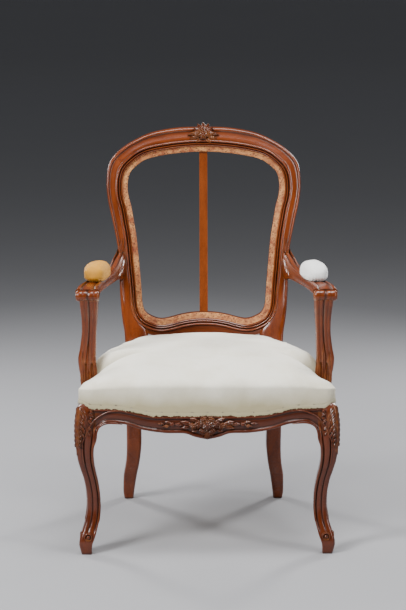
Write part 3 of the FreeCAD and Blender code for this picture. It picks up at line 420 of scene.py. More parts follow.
def beech(name, colours, turn, coat=0.42, reach=0.006, bump=0.12):
    # the third colour serves the flecks, the patina stain and the painted shade in hollows
    light, dark, stainAndShade = colours
    material, b, shader = newMaterial(name, Coat_Weight=coat, Coat_Roughness=0.14, Specular_IOR_Level=0.3)
    place = b.place()
    place = b.put("ShaderNodeMapping", {"Vector": place, "Rotation": turn}).outputs[0]
    patina = b.put("ShaderNodeAttribute", attribute_name="patina").outputs["Fac"]
    figure = b.put("ShaderNodeGroup", node_tree=figureGroup)
    b.feed(figure, {"Vector": place, "Light": light, "Dark": dark, "Hollow": stainAndShade,
                    "Patina": patina, "Reach": reach})
    b.link(figure.outputs["Color"], shader.inputs["Base Color"])
    b.link(figure.outputs["Roughness"], shader.inputs["Roughness"])
    b.relief(figure.outputs["Height"], bump, 0.0004, shader)
    return material


def cloth(name, threads, light, shade, dirt, soil, bump=0.35, sheen=0.25, roughness=0.88):
    material, b, shader = newMaterial(name, roughness, Sheen_Weight=sheen, Sheen_Roughness=0.5)
    place = b.place()
    weave = b.put("ShaderNodeGroup", node_tree=weaveGroup)
    b.feed(weave, {"Threads": threads, "Light": light, "Shade": shade, "Dirt": dirt, "Soil": soil,
                   "Vector": place})
    b.link(weave.outputs["Color"], shader.inputs["Base Color"])
    b.relief(weave.outputs["Height"], bump, 0.0005, shader)
    return material, b, shader, weave


quarter = math.pi / 2
# the third colour darkens hollows: patina stain and painted shade
varnish = {  # light grain, dark grain, hollows
    "plain": (linear(126, 56, 13), linear(78, 29, 6), linear(22, 6, 2)),
    "deep": (linear(102, 43, 13), linear(60, 21, 6), linear(16, 5, 2)),
    "batten": (linear(126, 60, 19), linear(90, 38, 11), linear(22, 6, 2)),
    "raw": (linear(206, 168, 120), linear(176, 132, 84), linear(96, 60, 34)),
}
grainUp, grainAcross, grainBack = (0, 0, 0), (0, quarter, 0), (quarter, 0, 0)
uprightBeech = beech("uprightBeech", varnish["plain"], grainUp)
crossBeech = beech("crossBeech", varnish["plain"], grainAcross)
armBeech = beech("armBeech", varnish["plain"], grainBack)
carvedBeech = beech("carvedBeech", varnish["deep"], grainUp, reach=0.004, bump=0.2)
legBeech = beech("legBeech", varnish["deep"], grainUp)
apronBeech = beech("apronBeech", varnish["deep"], grainAcross)
battenBeech = beech("battenBeech", varnish["batten"], grainUp, coat=0.2)
rawBeech = beech("rawBeech", varnish["raw"], grainAcross, coat=0.0)
pegBeech = beech("pegBeech", varnish["deep"], grainUp, coat=0.2)


def tackStrip():
    # pale bared wood with old glue and tack holes
    material, b, shader = newMaterial("tackStripBeech", 0.72)
    place = b.place()
    clouds = b.noise(place, 55, 5, 0.7)
    fine = b.noise(place, 260, 4, 0.7)
    colour = b.mix(b.span(clouds, 0.35, 0.66), linear(126, 56, 20), linear(196, 138, 82))
    colour = b.mix(b.span(fine, 0.50, 0.66), colour, linear(112, 52, 22))
    holes = b.put("ShaderNodeTexVoronoi", {"Vector": place, "Scale": 150.0, "Randomness": 0.9})
    pits = b.span(holes.outputs["Distance"], 0.16, 0.30, 1.0, 0.0)
    colour = b.mix(b.times(pits, 0.85), colour, linear(58, 30, 18))
    b.link(colour, shader.inputs["Base Color"])
    height = b.math("SUBTRACT", b.times(fine, 0.6), pits)
    b.relief(height, 0.7, 0.0008, shader)
    return material


bareStrip = tackStrip()

muslin, muslinBoard, muslinShader, muslinWeave = cloth(
    "creamMuslin", 3600.0, linear(250, 246, 232), linear(232, 226, 208), linear(214, 204, 172), 0.35)
whiteCloth = cloth(
    "whiteCalico", 3600.0, linear(248, 248, 246), linear(224, 224, 222), linear(206, 204, 196), 0.3)[0]
goldCloth = cloth(
    "goldSilk", 2600.0, linear(214, 152, 16), linear(180, 116, 8), linear(124, 72, 6), 0.85,
    bump=0.7, sheen=0.06, roughness=0.6)[0]
juteCloth = cloth(
    "juteWebbing", 1500.0, linear(205, 176, 128), linear(140, 108, 66), linear(120, 88, 52), 0.5, bump=0.8)[0]
hessianCloth = cloth(
    "openHessian", 1100.0, linear(178, 142, 92), linear(96, 70, 40), linear(110, 80, 46), 0.5, bump=0.8)[0]


def shadeLowFront():
    # painted shade: the muslin is darkened greyer and a little green towards its lower front edge, with a few
    # lighter stains, and painted shade in its creases
    b = muslinBoard
    place = b.place()
    apart = b.put("ShaderNodeSeparateXYZ", {0: place}).outputs
    uneven = b.times(b.math("SUBTRACT", b.noise(place, 14, 4), 0.5), 0.05)
    # painted shade: darker and greener towards the lower front of the seat
    level = b.span(b.plus(apart[2], uneven), 0.345, 0.405, 1.0, 0.0)
    colour = b.mix(b.times(level, 0.95), muslinWeave.outputs["Color"], linear(166, 155, 118))
    stain = b.span(b.noise(place, 6, 3, 0.6), 0.58, 0.72)
    colour = b.mix(b.times(stain, 0.25), colour, linear(212, 204, 182))
    # painted shade in the creases, from an occlusion mask
    creaseShade = b.span(b.crowding(0.035, samples=8), 0.60, 0.96, 0.8, 0.0)
    colour = b.mix(creaseShade, colour, linear(158, 148, 118))
    b.link(colour, muslinShader.inputs["Base Color"])


shadeLowFront()


def metal(name, light, dark, roughness):
    material, b, shader = newMaterial(name, roughness, Metallic=1.0)
    place = b.place()
    spots = b.noise(place, 240, 4, 0.7)
    b.link(b.mix(b.span(spots, 0.4, 0.65), dark, light), shader.inputs["Base Color"])
    b.link(b.span(spots, 0.3, 0.7, roughness + 0.25, roughness), shader.inputs["Roughness"])
    b.relief(spots, 0.3, 0.0003, shader)
    return material


dullTack = metal("dullTackIron", linear(196, 188, 168), linear(142, 132, 112), 0.5)
tackIron = metal("tackIron", linear(150, 140, 124), linear(74, 60, 48), 0.35)
springSteel = metal("springSteel", linear(168, 160, 150), linear(96, 82, 66), 0.3)
screwSteel = metal("screwSteel", linear(176, 172, 164), linear(110, 102, 92), 0.3)


def studioFloor():
    material, b, shader = newMaterial("studioFloor", 0.7)
    place = b.place()
    base = (*studio["floorColour"], 1)
    lighter = tuple(min(c * 1.04, 1) for c in studio["floorColour"]) + (1,)
    b.link(b.mix(b.noise(place, 1.3, 2), base, lighter), shader.inputs["Base Color"])
    return material


def buildFloor():
    # a wide floor whose far rim rises, so that no edge shows from any side
    mesh = bmesh.new()
    reach = studio["floorReach"]
    bmesh.ops.create_circle(mesh, cap_ends=True, segments=96, radius=reach)
    rim = [e for e in mesh.edges if e.is_boundary]
    for radius, height in studio["floorRim"]:
        grown = bmesh.ops.extrude_edge_only(mesh, edges=rim)["geom"]
        rim = [e for e in grown if isinstance(e, bmesh.types.BMEdge)]
        for vert in {v for e in rim for v in e.verts}:
            vert.co = Vector((vert.co.x * radius / reach, vert.co.y * radius / reach, height))
        reach = radius
    for face in mesh.faces:
        face.smooth = True
    data = bpy.data.meshes.new("studioFloor")
    mesh.to_mesh(data)
    mesh.free()
    floor = bpy.data.objects.new("studioFloor", data)
    data.materials.append(studioFloor())
    bpy.context.scene.collection.objects.link(floor)


buildFloor()
print("materials ready")


# open back: one moulding round the opening, and the outer rail of stiles and crest

backFrame = {
    "rake": 10.8,
    "curve": 700,  # radius of the back in plan
    "thickness": 28,
    "rear": 296,
    "top": 950,
    "openingHalf": [
        (0, 877), (60, 874), (115.5, 866), (146, 857), (167.5, 842), (180, 829), (185.5, 812),
        (186.8, 790), (184.5, 770), (178.5, 748), (172, 712), (166, 676), (162, 640), (159, 606),
        (155.5, 570), (153, 536), (151.5, 515), (148, 498), (140, 485.5), (128, 478), (114, 472.5),
        (100, 471), (80, 474.5), (58, 480), (30, 484.5), (0, 486)],
    # distance out from the opening, depth behind the face, stain
    "moulding": [
        (1.2, 28.4, 0), (0, 26.5, 0), (0, 8.0, 0), (0.5, 6.2, 0), (1.8, 5.4, 0), (7, 5.1, 0),
        (12.6, 5.0, 0.2),
        (13.3, 4.4, 0.9), (13.7, 1.4, 0.3), (14.3, 0.3, 0), (15.6, -0.3, 0), (16.6, 0.5, 0.3), (17.4, 2.8, 1),
        (18.2, 1.2, 0.4), (19.2, -0.6, 0), (20.4, -0.9, 0), (21.4, 0.2, 0.2), (22.2, 3.8, 1), (23.0, 4.2, 1),
        (23.9, 1.2, 0.4), (25.2, -1.4, 0), (26.8, -2.2, 0), (28.4, -1.6, 0), (29.8, 0.6, 0.3),
        (30.4, 3.4, 0.7), (31.2, 3.2, 0.2)],
    "bandRight": [(0, 52), (30, 49), (58, 47), (80, 44), (100, 42), (114, 41)],
    "outerPairs": [  # on the opening, on the outline
        ((0, 877), (0, 937)), ((60, 874), (64, 935)), ((115.5, 866), (128, 924)),
        ((146, 857), (176.5, 903)), ((167.5, 842), (208, 882)), ((180, 829), (228, 860)),
        ((185.5, 812), (236, 836)), ((186.8, 790), (238.5, 802)), ((184.5, 770), (236.8, 776)),
        ((178.5, 748), (232.5, 750)), ((172, 712), (223, 708)), ((166, 676), (215, 668)),
        ((162, 640), (209.8, 636)), ((159, 606), (208, 604)), ((155.5, 572), (207, 570))],
    "lowerStile": [  # inner, outer
        ((175, 536), (205.8, 536)), ((170, 500), (203.4, 500)), ((155, 466), (199.5, 466)),
        ((138, 442), (195.6, 442)), ((142, 404), (193, 404)), ((154, 370), (192, 370))],
    # share across from the outside, depth behind the face carved and plain, stain
    "rail": [
        (0.06, 28.4, 28.4, 0), (0.0, 26.8, 26.8, 0), (0.0, 10, 10, 0), (0.012, 5.4, 5.4, 0),
        (0.05, 2.2, 2.4, 0), (0.11, 0.9, 0.8, 0), (0.18, 0.7, 0.2, 0), (0.235, 1.5, 0, 0.3),
        (0.27, 3.4, 0, 0.9), (0.32, 3.9, 0, 0.5), (0.42, 3.6, 0, 0.1), (0.55, 2.5, 0, 0), (0.68, 1.0, 0, 0),
        (0.80, -0.2, 0.0, 0), (0.90, 0.2, 0.5, 0.2), (0.97, 1.4, 2.0, 0.5), (1.0, 4.2, 5.2, 0.8),
        (1.0, 26.8, 26.8, 0), (0.94, 28.4, 28.4, 0)],
    "joint": (150.5, 790),
    "jointAngle": 50,
    "lowerJoint": 151,
}
rake = math.radians(backFrame["rake"])
backDepth = 28.4  # from the front face to the rear one, with a little to spare
railTop = 352


def backFace(x, z, depth=0.0):
    # the place of a point of the back at a depth behind its front face
    radius = backFrame["curve"]
    front = backFrame["rear"] - backFrame["thickness"] / math.cos(rake)
    front -= (backFrame["top"] - z) * math.tan(rake)
    sag = radius - math.sqrt(radius ** 2 - x ** 2)
    return Vector((x, front - sag / math.cos(rake) + depth / math.cos(rake), z))


def mirroredLoop(half):
    return half + [(-x, y) for x, y in reversed(half[1:-1])]


def buildInnerFrame():
    # the moulding right round, with its pale tack strip as a second finish
    path = evenLoop(mirroredLoop(backFrame["openingHalf"]), 300)
    middle = Vector((0, 680))
    ways = []
    for index, point in enumerate(path):
        along = (path[(index + 1) % len(path)] - path[index - 1]).normalized()
        way = Vector((-along.y, along.x))
        ways.append(way if way.dot(point - middle) > 0 else -way)
    mesh = bmesh.new()
    profile = backFrame["moulding"]
    edge = profile[-1][0]
    rings = []
    for point, way in zip(path, ways):
        reach = edge
        if point.y < 500:  # the band below the opening is wider
            reach = max(blendTable(backFrame["bandRight"], abs(point.x))[0], edge)
            reach = reach if abs(point.x) < 114 else edge + 9.8 * smoothStep(156, 122, abs(point.x))
        ring = []
        outline = [row[:2] for row in profile]
        outline += [(reach, 3.6), (reach + 0.6, 6), (reach + 0.6, 26.5), (reach - 1, backDepth)]
        for out, depth in outline:
            place = point + way * out
            ring.append(backFace(place.x, place.y, depth))
        rings.append(ring)
    rings.append(rings[0])
    marks = [row[-1] for row in profile] + [0.2, 0, 0, 0]
    loft(mesh, rings, caps=False, marks=marks)
    bmesh.ops.remove_doubles(mesh, verts=mesh.verts, dist=1e-3)
    # the faces nearest the opening are the tack strip
    for face in mesh.faces:
        centre = face.calc_center_median()
        nearest = min(range(len(path)),
                      key=lambda i: (path[i].x - centre.x) ** 2 + (path[i].y - centre.z) ** 2)
        out = (Vector((centre.x, centre.z)) - path[nearest]).dot(ways[nearest])
        behind = centre.y - backFace(centre.x, centre.z).y
        if out < 13.2 and behind < 16:
            face.material_index = 1
    return mesh


rearLeg = {
    "middle": 173.5, "splay": 15, "width": 37, "depth": 36, "middleY": 153.7, "kick": 102,
    "profile": [  # height share, kick back, splay, width, depth
        (1.00, 0.00, 0.00, 1.00, 1.00), (0.80, 0.03, 0.00, 1.00, 1.00), (0.60, 0.15, 0.00, 1.00, 1.00),
        (0.45, 0.29, 0.00, 1.00, 1.00), (0.35, 0.42, 0.14, 0.95, 0.96), (0.27, 0.56, 0.38, 0.92, 0.92),
        (0.19, 0.72, 0.72, 0.90, 0.86), (0.06, 0.94, 1.00, 0.76, 0.75), (0.00, 1.00, 1.00, 0.62, 0.67)],
}


def buildOuterFrame():
    # the right half, from the middle of the crest down the stile to the foot
    rows = []
    for innerPlace, outerPlace in backFrame["outerPairs"]:
        inner, outer = Vector(innerPlace), Vector(outerPlace)
        inner = inner + (outer - inner).normalized() * 27
        rows.append((*backFace(*inner), *backFace(*outer), 1.0, backDepth))
    for innerPlace, outerPlace in backFrame["lowerStile"]:
        carved = smoothStep(505, 575, innerPlace[1])
        depth = backDepth + 7.6 * smoothStep(450, 375, innerPlace[1])
        rows.append((*backFace(*innerPlace), *backFace(*outerPlace), carved, depth))
    for height, back, out, width, depth in rearLeg["profile"]:
        x = rearLeg["middle"] + out * rearLeg["splay"]
        half = rearLeg["width"] / 2 * width
        front = rearLeg["middleY"] + back * rearLeg["kick"] - rearLeg["depth"] / 2 * depth
        z = railTop * height
        rows.append((x - half, front, z, x + half, front, z, 0.0, rearLeg["depth"] * depth))
    mesh = bmesh.new()
    rings, marks = [], []
    for station in smoothPath(rows, 230):
        inner, outer = Vector(station[0:3]), Vector(station[3:6])
        carved, depth = min(max(station[6], 0), 1), station[7]
        ring = []
        for across, cut, flat, _ in backFrame["rail"]:
            behind = carved * cut + (1 - carved) * flat
            behind = behind if behind < 14 else depth - (backDepth - behind)
            ring.append(outer.lerp(inner, across) + Vector((0, behind, 0)))
        rings.append(ring)
        marks.append([row[-1] * carved for row in backFrame["rail"]])
    rings[0] = [Vector((0, p.y, p.z)) for p in rings[0]]
    loft(mesh, rings, caps=False, marks=marks)
    last = [e for e in mesh.edges if e.is_boundary and e.verts[0].co.z < 1 and e.verts[1].co.z < 1]
    bmesh.ops.edgenet_fill(mesh, edges=last)
    return mesh


def absorb(mesh, other):
    between = bpy.data.meshes.new("between")
    other.to_mesh(between)
    other.free()
    mesh.from_mesh(between)
    bpy.data.meshes.remove(between)


def buildBack():
    # the ring is cut at its joints into crest, lower rail and two stiles with their legs
    turn = math.radians(backFrame["jointAngle"])
    jointX, jointZ = backFrame["joint"]
    above = Vector((-math.sin(turn), 0, math.cos(turn)))
    aboveLeft = Vector((-above.x, 0, above.z))
    place, placeLeft = Vector((jointX, 0, jointZ)), Vector((-jointX, 0, jointZ))
    hair = 0.12
    inner = buildInnerFrame()
    outer = buildOuterFrame()

    crest = inner.copy()
    trim(crest, place + above * hair, -above)
    trim(crest, placeLeft + aboveLeft * hair, -aboveLeft)
    crestOuter = outer.copy()
    trim(crestOuter, place + above * hair, -above)
    mirrorAcross(crestOuter)
    bmesh.ops.remove_doubles(crestOuter, verts=crestOuter.verts, dist=1e-3)
    absorb(crest, crestOuter)

    lower = inner.copy()
    side = backFrame["lowerJoint"] - hair
    trim(lower, Vector((side, 0, 0)), Vector((1, 0, 0)))
    trim(lower, Vector((-side, 0, 0)), Vector((-1, 0, 0)))
    trim(lower, Vector((0, 0, 640)), Vector((0, 0, 1)))

    stile = inner.copy()
    trim(stile, place - above * hair, above)
    trim(stile, Vector((backFrame["lowerJoint"] + hair, 0, 0)), Vector((-1, 0, 0)))
    stileOuter = outer.copy()
    trim(stileOuter, place - above * hair, above)
    absorb(stile, stileOuter)
    inner.free()
    outer.free()

    rails = [piece("crestRail", crest, crossBeech, ["crest_rail"]),
             piece("lowerBackRail", lower, crossBeech, ["lower_back_rail"])]
    for item in rails + rightAndLeft("rearLeg", stile, uprightBeech, "rear_leg"):
        item.data.materials.append(bareStrip)


buildBack()
print("back ready")


# carved leaves and flowers, laid on the wood they belong to

def layOn(origin, along, out):
    # a frame whose Y runs along the leaf and whose Z stands out from the wood
    out = Vector(out).normalized()
    along = (Vector(along) - out * Vector(along).dot(out)).normalized()
    across = along.cross(out)
    return Matrix.Translation(Vector(origin)) @ Matrix((across, along, out)).transposed().to_4x4()


def leaf(mesh, place, length, width, rise, lobes=3, curl=0.0, sway=0.0, thick=2.2, bend=0.0):
    mark = patinaLayer(mesh)
    made = bmesh.ops.create_grid(mesh, x_segments=8, y_segments=14, size=1)["verts"]
    for vert in made:
        u, v = vert.co.x, (vert.co.y + 1) / 2
        body = math.sin(math.pi * (0.12 + 0.80 * v)) ** 0.6
        notch = 1 - 0.16 * abs(math.sin(lobes * math.pi * v)) ** 0.8 if lobes else 1
        half = width / 2 * max(body * (1 - v ** 7) * notch, 0.10)
        ribs = math.cos((v * (lobes + 1) * 2 + abs(u) * 1.1) * math.pi) if lobes else 0
        height = rise * (1 - 0.75 * u * u) * (0.55 + 0.45 * math.sin(math.pi * v))
        height -= rise * 0.45 * math.exp(-(u / 0.14) ** 2) * (1 - v * 0.6)
        height += rise * 0.26 * ribs * abs(u) * (1 - v)
        height += curl * v ** 4 - bend * abs(u * half)
        vert.co = Vector((u * half + sway * v * v, v * length, height))
        # old stain lies in the vein, between the ribs and along the rim
        stain = 0.75 * math.exp(-(u / 0.2) ** 2) * (1 - v) + 0.55 * smoothStep(0.72, 1, abs(u))
        vert[mark] = min(stain + 0.35 * max(-ribs, 0) * abs(u), 1)
    faces = list({f for v in made for f in v.link_faces})
    rims = bmesh.ops.extrude_face_region(mesh, geom=faces)["geom"]
    lower = [v for v in rims if isinstance(v, bmesh.types.BMVert)]
    for vert in lower:
        vert.co.z += thick
    whole = made + lower
    bmesh.ops.translate(mesh, vec=(0, 0, -thick), verts=whole)
    bmesh.ops.transform(mesh, matrix=place, verts=whole)


carving = {
    "boss": [(1.0, 0.0), (0.98, 0.45), (0.8, 0.85), (0.45, 1.0), (0.0, 1.0)],  # share of radius, of height
    "crestMiddle": 919,
    "crestFan": 7,
    "crestSpread": 27,
    "crestSprays": [  # out, up, length, lean
        (14, -3, 21, -0.25), (9, -8, 18, -0.75), (26, 4, 24, -0.12), (24, -4, 20, -0.22)],
}


def knob(mesh, place, radius, height, outline=carving["boss"]):
    # a small turned boss from its outline
    verts = [mesh.verts.new((share * radius, 0, rise * height)) for share, rise in outline]
    verts.insert(0, mesh.verts.new((radius, 0, -radius * 0.5)))
    edges = [mesh.edges.new(pair) for pair in zip(verts, verts[1:])]
    bmesh.ops.spin(
        mesh, geom=verts + edges, cent=(0, 0, 0), axis=(0, 0, 1), dvec=(0, 0, 0),
        angle=2 * math.pi, steps=18, use_merge=True)
    whole = {v for e in edges for v in e.verts}
    waiting = list(whole)
    while waiting:  # everything that hangs together with the outline
        vert = waiting.pop()
        found = {e.other_vert(vert) for e in vert.link_edges} - whole
        whole |= found
        waiting += found
    bmesh.ops.transform(mesh, matrix=place, verts=list(whole))


def flower(mesh, place, radius, petals=5, rise=4.0, layers=2):
    for layer in range(layers):
        for index in range(petals):
            turn = 2 * math.pi * (index + layer * 0.5) / petals
            size = radius * (1 - 0.34 * layer)
            petal = Matrix.Translation((0, radius * 0.08, layer * rise * 0.55))
            petal = place @ Matrix.Rotation(turn, 4, "Z") @ petal
            leaf(mesh, petal, size, size * 0.98, rise, lobes=0, curl=rise * 0.35, thick=rise)
    knob(mesh, place @ Matrix.Translation((0, 0, rise * 0.9 * layers * 0.6)), radius * 0.26, rise * 0.7)


def strand(mesh, path, radius, sides=8, ends=True):
    # a bead of wood or wire along a path, tapered at its ends where asked
    rings = []
    count = len(path)
    up = Vector((0, 0, 1))
    for index, point in enumerate(path):
        ahead = (path[min(index + 1, count - 1)] - path[max(index - 1, 0)]).normalized()
        side = ahead.cross(up)
        side = side.normalized() if side.length > 0.05 else Vector((1, 0, 0))
        rise = side.cross(ahead)
        size = radius
        if ends:
            size *= 0.35 + 0.65 * min(smoothStep(0, 3, index), smoothStep(0, 3, count - 1 - index))
        rings.append([
            point + side * math.cos(a) * size + rise * math.sin(a) * size
            for a in (2 * math.pi * k / sides for k in range(sides))])
    loft(mesh, rings)


# crest flower

def carveCrest():
    mesh = bmesh.new()
    facing = Vector((0, -math.cos(rake), math.sin(rake)))
    base = backFace(0, carving["crestMiddle"], -1.0)
    half = carving["crestFan"] // 2
    for index in range(carving["crestFan"]):
        turn = math.radians((index - half) * carving["crestSpread"])
        size = 28 - 0.6 * abs(index - half)
        along = Vector((math.sin(turn), 0, math.cos(turn)))
        leaf(mesh, layOn(base + along * 3, along, facing), size, 16, 5.4, lobes=2, curl=2.4)
    for side in (-1, 1):
        for reach, drop, size, lean in carving["crestSprays"]:
            along = Vector((side, 0, lean))
            start = base + Vector((side * reach * 0.6, 0.6, drop))
            leaf(mesh, layOn(start, along, facing), size, 9.5, 4.2, lobes=2, curl=1.5, sway=side * 2)
        flower(mesh, layOn(base + Vector((side * 13, -1.6, 1)), (0, 0, 1), facing), 7.5, petals=5, rise=3.0)
    flower(mesh, layOn(base + Vector((0, -2.8, -1)), (0, 0, 1), facing), 10.5, petals=5, rise=3.6)
    piece("crestFlower", mesh, carvedBeech)


carveCrest()


# front legs

frontLeg = {
    "span": 298,
    "front": -293,
    "inset": 24,
    "block": 46,
    "ankle": 30,
    "toe": 23,
    "scrollHeight": 41,
    "toeScroll": [  # share of radius, of height
        (1.0, -0.4), (0.98, 0.6), (0.88, 1.0), (0.74, 0.95), (0.65, 0.4), (0.56, 0.25), (0.48, 0.55),
        (0.38, 0.95), (0.2, 1.12), (0.0, 1.15)],
    "cornerLeaves": [  # height, length, width, rise
        (345, 24, 12, 4.6), (330, 24, 12, 4.6), (314, 24, 11, 4.4), (298, 23, 10, 4.0), (282, 22, 9, 3.4),
        (267, 20, 8, 2.8), (252, 18, 7, 2.2)],
    "faceLeaves": [(334, 26, 13), (319, 25, 12), (303, 22, 10), (289, 18, 8)],
    "apronBead": [
        (252.6, -290.2, 270), (251.0, -289.6, 284), (246.5, -289.0, 296), (238, -289.4, 303.5),
        (226, -290.2, 307.6), (210, -291.0, 308.0), (192, -292.6, 305.4)],
    "sideBead": [
        (296, -246, 268), (294.5, -242, 282), (293.8, -232, 293), (293.6, -218, 299), (294.4, -200, 301.5)],
    "fineBead": [
        (272, -291.5, 286), (266, -290.4, 300), (256.5, -289.0, 313), (244, -288.6, 323.5),
        (230, -289.2, 331), (216, -289.9, 335), (202, -290.4, 335.6)],
    # height share, drawn in, ankle part, block part
    "stations": [
        (1.00, 0.25, 0.0, 1.0), (0.95, 0.12, 0.0, 1.0), (0.89, 0.02, 0.0, 1.0), (0.82, 0.00, 0.0, 1.0),
        (0.755, 0.01, 0.2, 0.8), (0.69, 0.05, 0.45, 0.55), (0.62, 0.19, 0.64, 0.36),
        (0.557, 0.44, 0.82, 0.18),
        (0.49, 0.73, 0.95, 0.05), (0.40, 0.95, 1.0, 0.0), (0.30, 1.00, 1.0, 0.0), (0.22, 0.83, 1.05, 0.0),
        (0.156, 0.54, 1.1, 0.0), (0.11, 0.32, 1.12, 0.0), (0.07, 0.24, 1.0, 0.0)],
    # across the front face from the inner edge to the corner: place, depth, stain
    "face": [
        (-0.500, 0.155, 0), (-0.505, 0.070, 0), (-0.490, 0.015, 0), (-0.455, -0.012, 0), (-0.41, -0.010, 0),
        (-0.375, 0.020, 0.3), (-0.345, 0.075, 1), (-0.305, 0.035, 0.4), (-0.26, 0.004, 0), (-0.12, 0.000, 0),
        (-0.02, 0.004, 0), (0.03, 0.030, 0.4), (0.07, 0.080, 1), (0.12, 0.035, 0.4), (0.17, 0.004, 0),
        (0.28, 0.000, 0), (0.37, 0.018, 0), (0.43, 0.050, 0)],
}


def legPlace(z):
    # centre, width and how far the leg is above its toe
    share = z / railTop
    table = [(0.0, 0.46, frontLeg["toe"] / frontLeg["ankle"], 0.0)] + sorted(frontLeg["stations"])
    rows = [Vector(row) for row in table]
    index = 0
    while index < len(rows) - 2 and rows[index + 1][0] < share:
        index += 1
    low, high = rows[index], rows[index + 1]
    before, after = rows[max(index - 1, 0)], rows[min(index + 2, len(rows) - 1)]
    share = (share - low[0]) / (high[0] - low[0])
    drawn, anklePart, blockPart = splinePoint(before, low, high, after, share)[1:]
    width = anklePart * frontLeg["ankle"] + blockPart * frontLeg["block"]
    x = frontLeg["span"] - frontLeg["inset"] * drawn - width / 2
    y = frontLeg["front"] + frontLeg["inset"] * drawn + width / 2
    return x, y, width


def onLeg(z, across, back):
    # a place at that height, in shares of the leg's width there
    x, y, width = legPlace(z)
    return Vector((x + width * across, y + width * back, z))


def showLine(x):
    # where the cover ends on the front rail
    share = min(max((abs(x) - 113.4) / 100.8, 0), 1)
    return 326 + 16 * share ** 2 * (3 - 2 * share)


def hemAt(x, y):
    # the cover's cut edge, which climbs over the front corners
    return showLine(x) + 9 * smoothStep(260, 287, abs(x)) * smoothStep(-215, -262, y)


def legRelief(z):
    # the grooves fade at the toe and under the knee carving
    return smoothStep(44, 66, z) * smoothStep(318, 272, z)


def legRing(z):
    x, y, width = legPlace(z)
    relief = legRelief(z)
    meet = smoothStep(268, 308, z) * 0.165
    front = []
    for across, depth, _ in frontLeg["face"]:
        if -0.455 < across < 0.42:
            depth *= relief
        depth += meet * smoothStep(0.05, -0.42, across)
        front.append((across, -0.5 + depth))
    side = [(-v, -u) for u, v in reversed(front)]
    rear = [(0.40, 0.49), (0.0, 0.5), (-0.40, 0.5), (-0.49, 0.42), (-0.5, 0.0), (-0.5, -0.2)]
    ring = [Vector((x + u * width, y + v * width, z)) for u, v in front + side + rear]
    turnX, turnY, radius = 258, -252.5, 33.2
    if z > 334:  # the cover is tacked over the rebated top
        for p in ring:
            edge = hemAt(p.x, p.y)
            under = smoothStep(edge - 7, edge + 1, z)
            goal = Vector((min(p.x, turnX + radius), max(p.y, turnY - radius), z))
            away = Vector((goal.x - turnX, goal.y - turnY, 0))
            if away.x > 0 > away.y and away.length > radius:
                goal = Vector((turnX, turnY, z)) + away.normalized() * radius
            p.x += (goal.x - p.x) * under
            p.y += (goal.y - p.y) * under
    return ring


def buildFrontLeg():
    mesh = bmesh.new()
    heights = [0, 2, 8, 16, 24, 32, 38, 44, 50, 56, 62] + [62 + (railTop - 62) * k / 62 for k in range(1, 63)]
    rings = [legRing(z) for z in heights]
    sole = Vector((*legPlace(0)[:2], 0))
    rings.insert(0, [p.lerp(sole, 0.10) for p in rings[0]])
    face = [row[-1] for row in frontLeg["face"]]
    loft(mesh, rings, marks=[[stain * legRelief(z) for stain in face + face[::-1]] + [0] * 6
                             for z in [0] + heights])
    bmesh.ops.triangulate(mesh, faces=[f for f in mesh.faces if len(f.verts) > 12])

    # toe scroll: a rolled end on the front of the ankle with the leg's bead running into it
    low = frontLeg["scrollHeight"]
    for facing in (Vector((0, -1, 0)), Vector((1, 0, 0))):
        x, y, width = legPlace(low)
        centre = Vector((x, y, low)) + facing * (width / 2 - 1.2)
        centre += Vector((-1.5, 0, 0)) if facing.y else Vector((0, 1.5, 0))
        knob(mesh, layOn(centre, (0, 0, 1), facing), 9.8, 4.6 if facing.y else 2.2, frontLeg["toeScroll"])
    # knee leaves hanging down the outer corner
    corner = Vector((1, -1, 0)).normalized()
    for z, size, width, rise in frontLeg["cornerLeaves"]:
        start, tip = onLeg(z, 0.425, -0.425), onLeg(z - size, 0.425, -0.425)
        leaf(mesh, layOn(start, tip - start, corner), size, width, rise, lobes=0, curl=1.8, thick=3, bend=0.3)
    # small leaves in pairs that spread from the corner over both faces
    for step in range(8):
        z = 343 - 11.5 * step
        size, width = 21 - 1.2 * step, 9.5 - 0.55 * step
        x, y, full = legPlace(z)
        spread = 0.62 - 0.03 * step
        front = Vector((x + full * 0.33, y - full * 0.5 + 0.4, z))
        leaf(mesh, layOn(front, (-spread, 0, -1), (0.22, -1, 0)), size, width, 4.2,
             lobes=0, curl=1.0, thick=3)
        side = Vector((x + full * 0.5 - 0.4, y - full * 0.33, z))
        leaf(mesh, layOn(side, (0, spread, -1), (1, -0.22, 0)), size, width, 3.6,
             lobes=0, curl=0.2, thick=3)
    faces = ((Vector((0, -1, 0)), Vector((-1, 0, 0))), (Vector((1, 0, 0)), Vector((0, 1, 0))))
    for z, size, width in frontLeg["faceLeaves"]:
        x, y, full = legPlace(z)
        for facing, slide in faces:
            start = Vector((x, y, z)) + facing * (full / 2 - 0.6) + slide * (-full * 0.24)
            down = Vector((0, 0, -1)) + slide * 0.40
            leaf(mesh, layOn(start, down, facing + corner * 0.35), size, width, 3.0,
                 lobes=3, curl=-1.2, sway=1.5)
            side = Vector((x, y, z - 4)) + facing * (full / 2 - 0.8) + slide * (full * 0.10)
            leaf(mesh, layOn(side, slide - Vector((0, 0, 0.9)), facing), size * 0.55, width * 0.7, 2.4,
                 lobes=2, curl=-0.6)
    # beads that sweep from both faces into the rails, and a finer one from the middle flute
    for low, high, across, back, run, count, radius in (
            (70, 262, -0.462, -0.502, "apronBead", 90, 2.3), (70, 262, 0.502, 0.462, "sideBead", 90, 2.3),
            (210, 272, 0.13, -0.49, "fineBead", 80, 1.9)):
        path = [onLeg(z, across, back) for z in range(low, high, 8)] + frontLeg[run]
        strand(mesh, smoothPath(path, count), radius, sides=10)
    return mesh


rightAndLeft("frontLeg", buildFrontLeg(), legBeech, "front_leg")
print("legs ready")


# arms, posts and their rolled hands

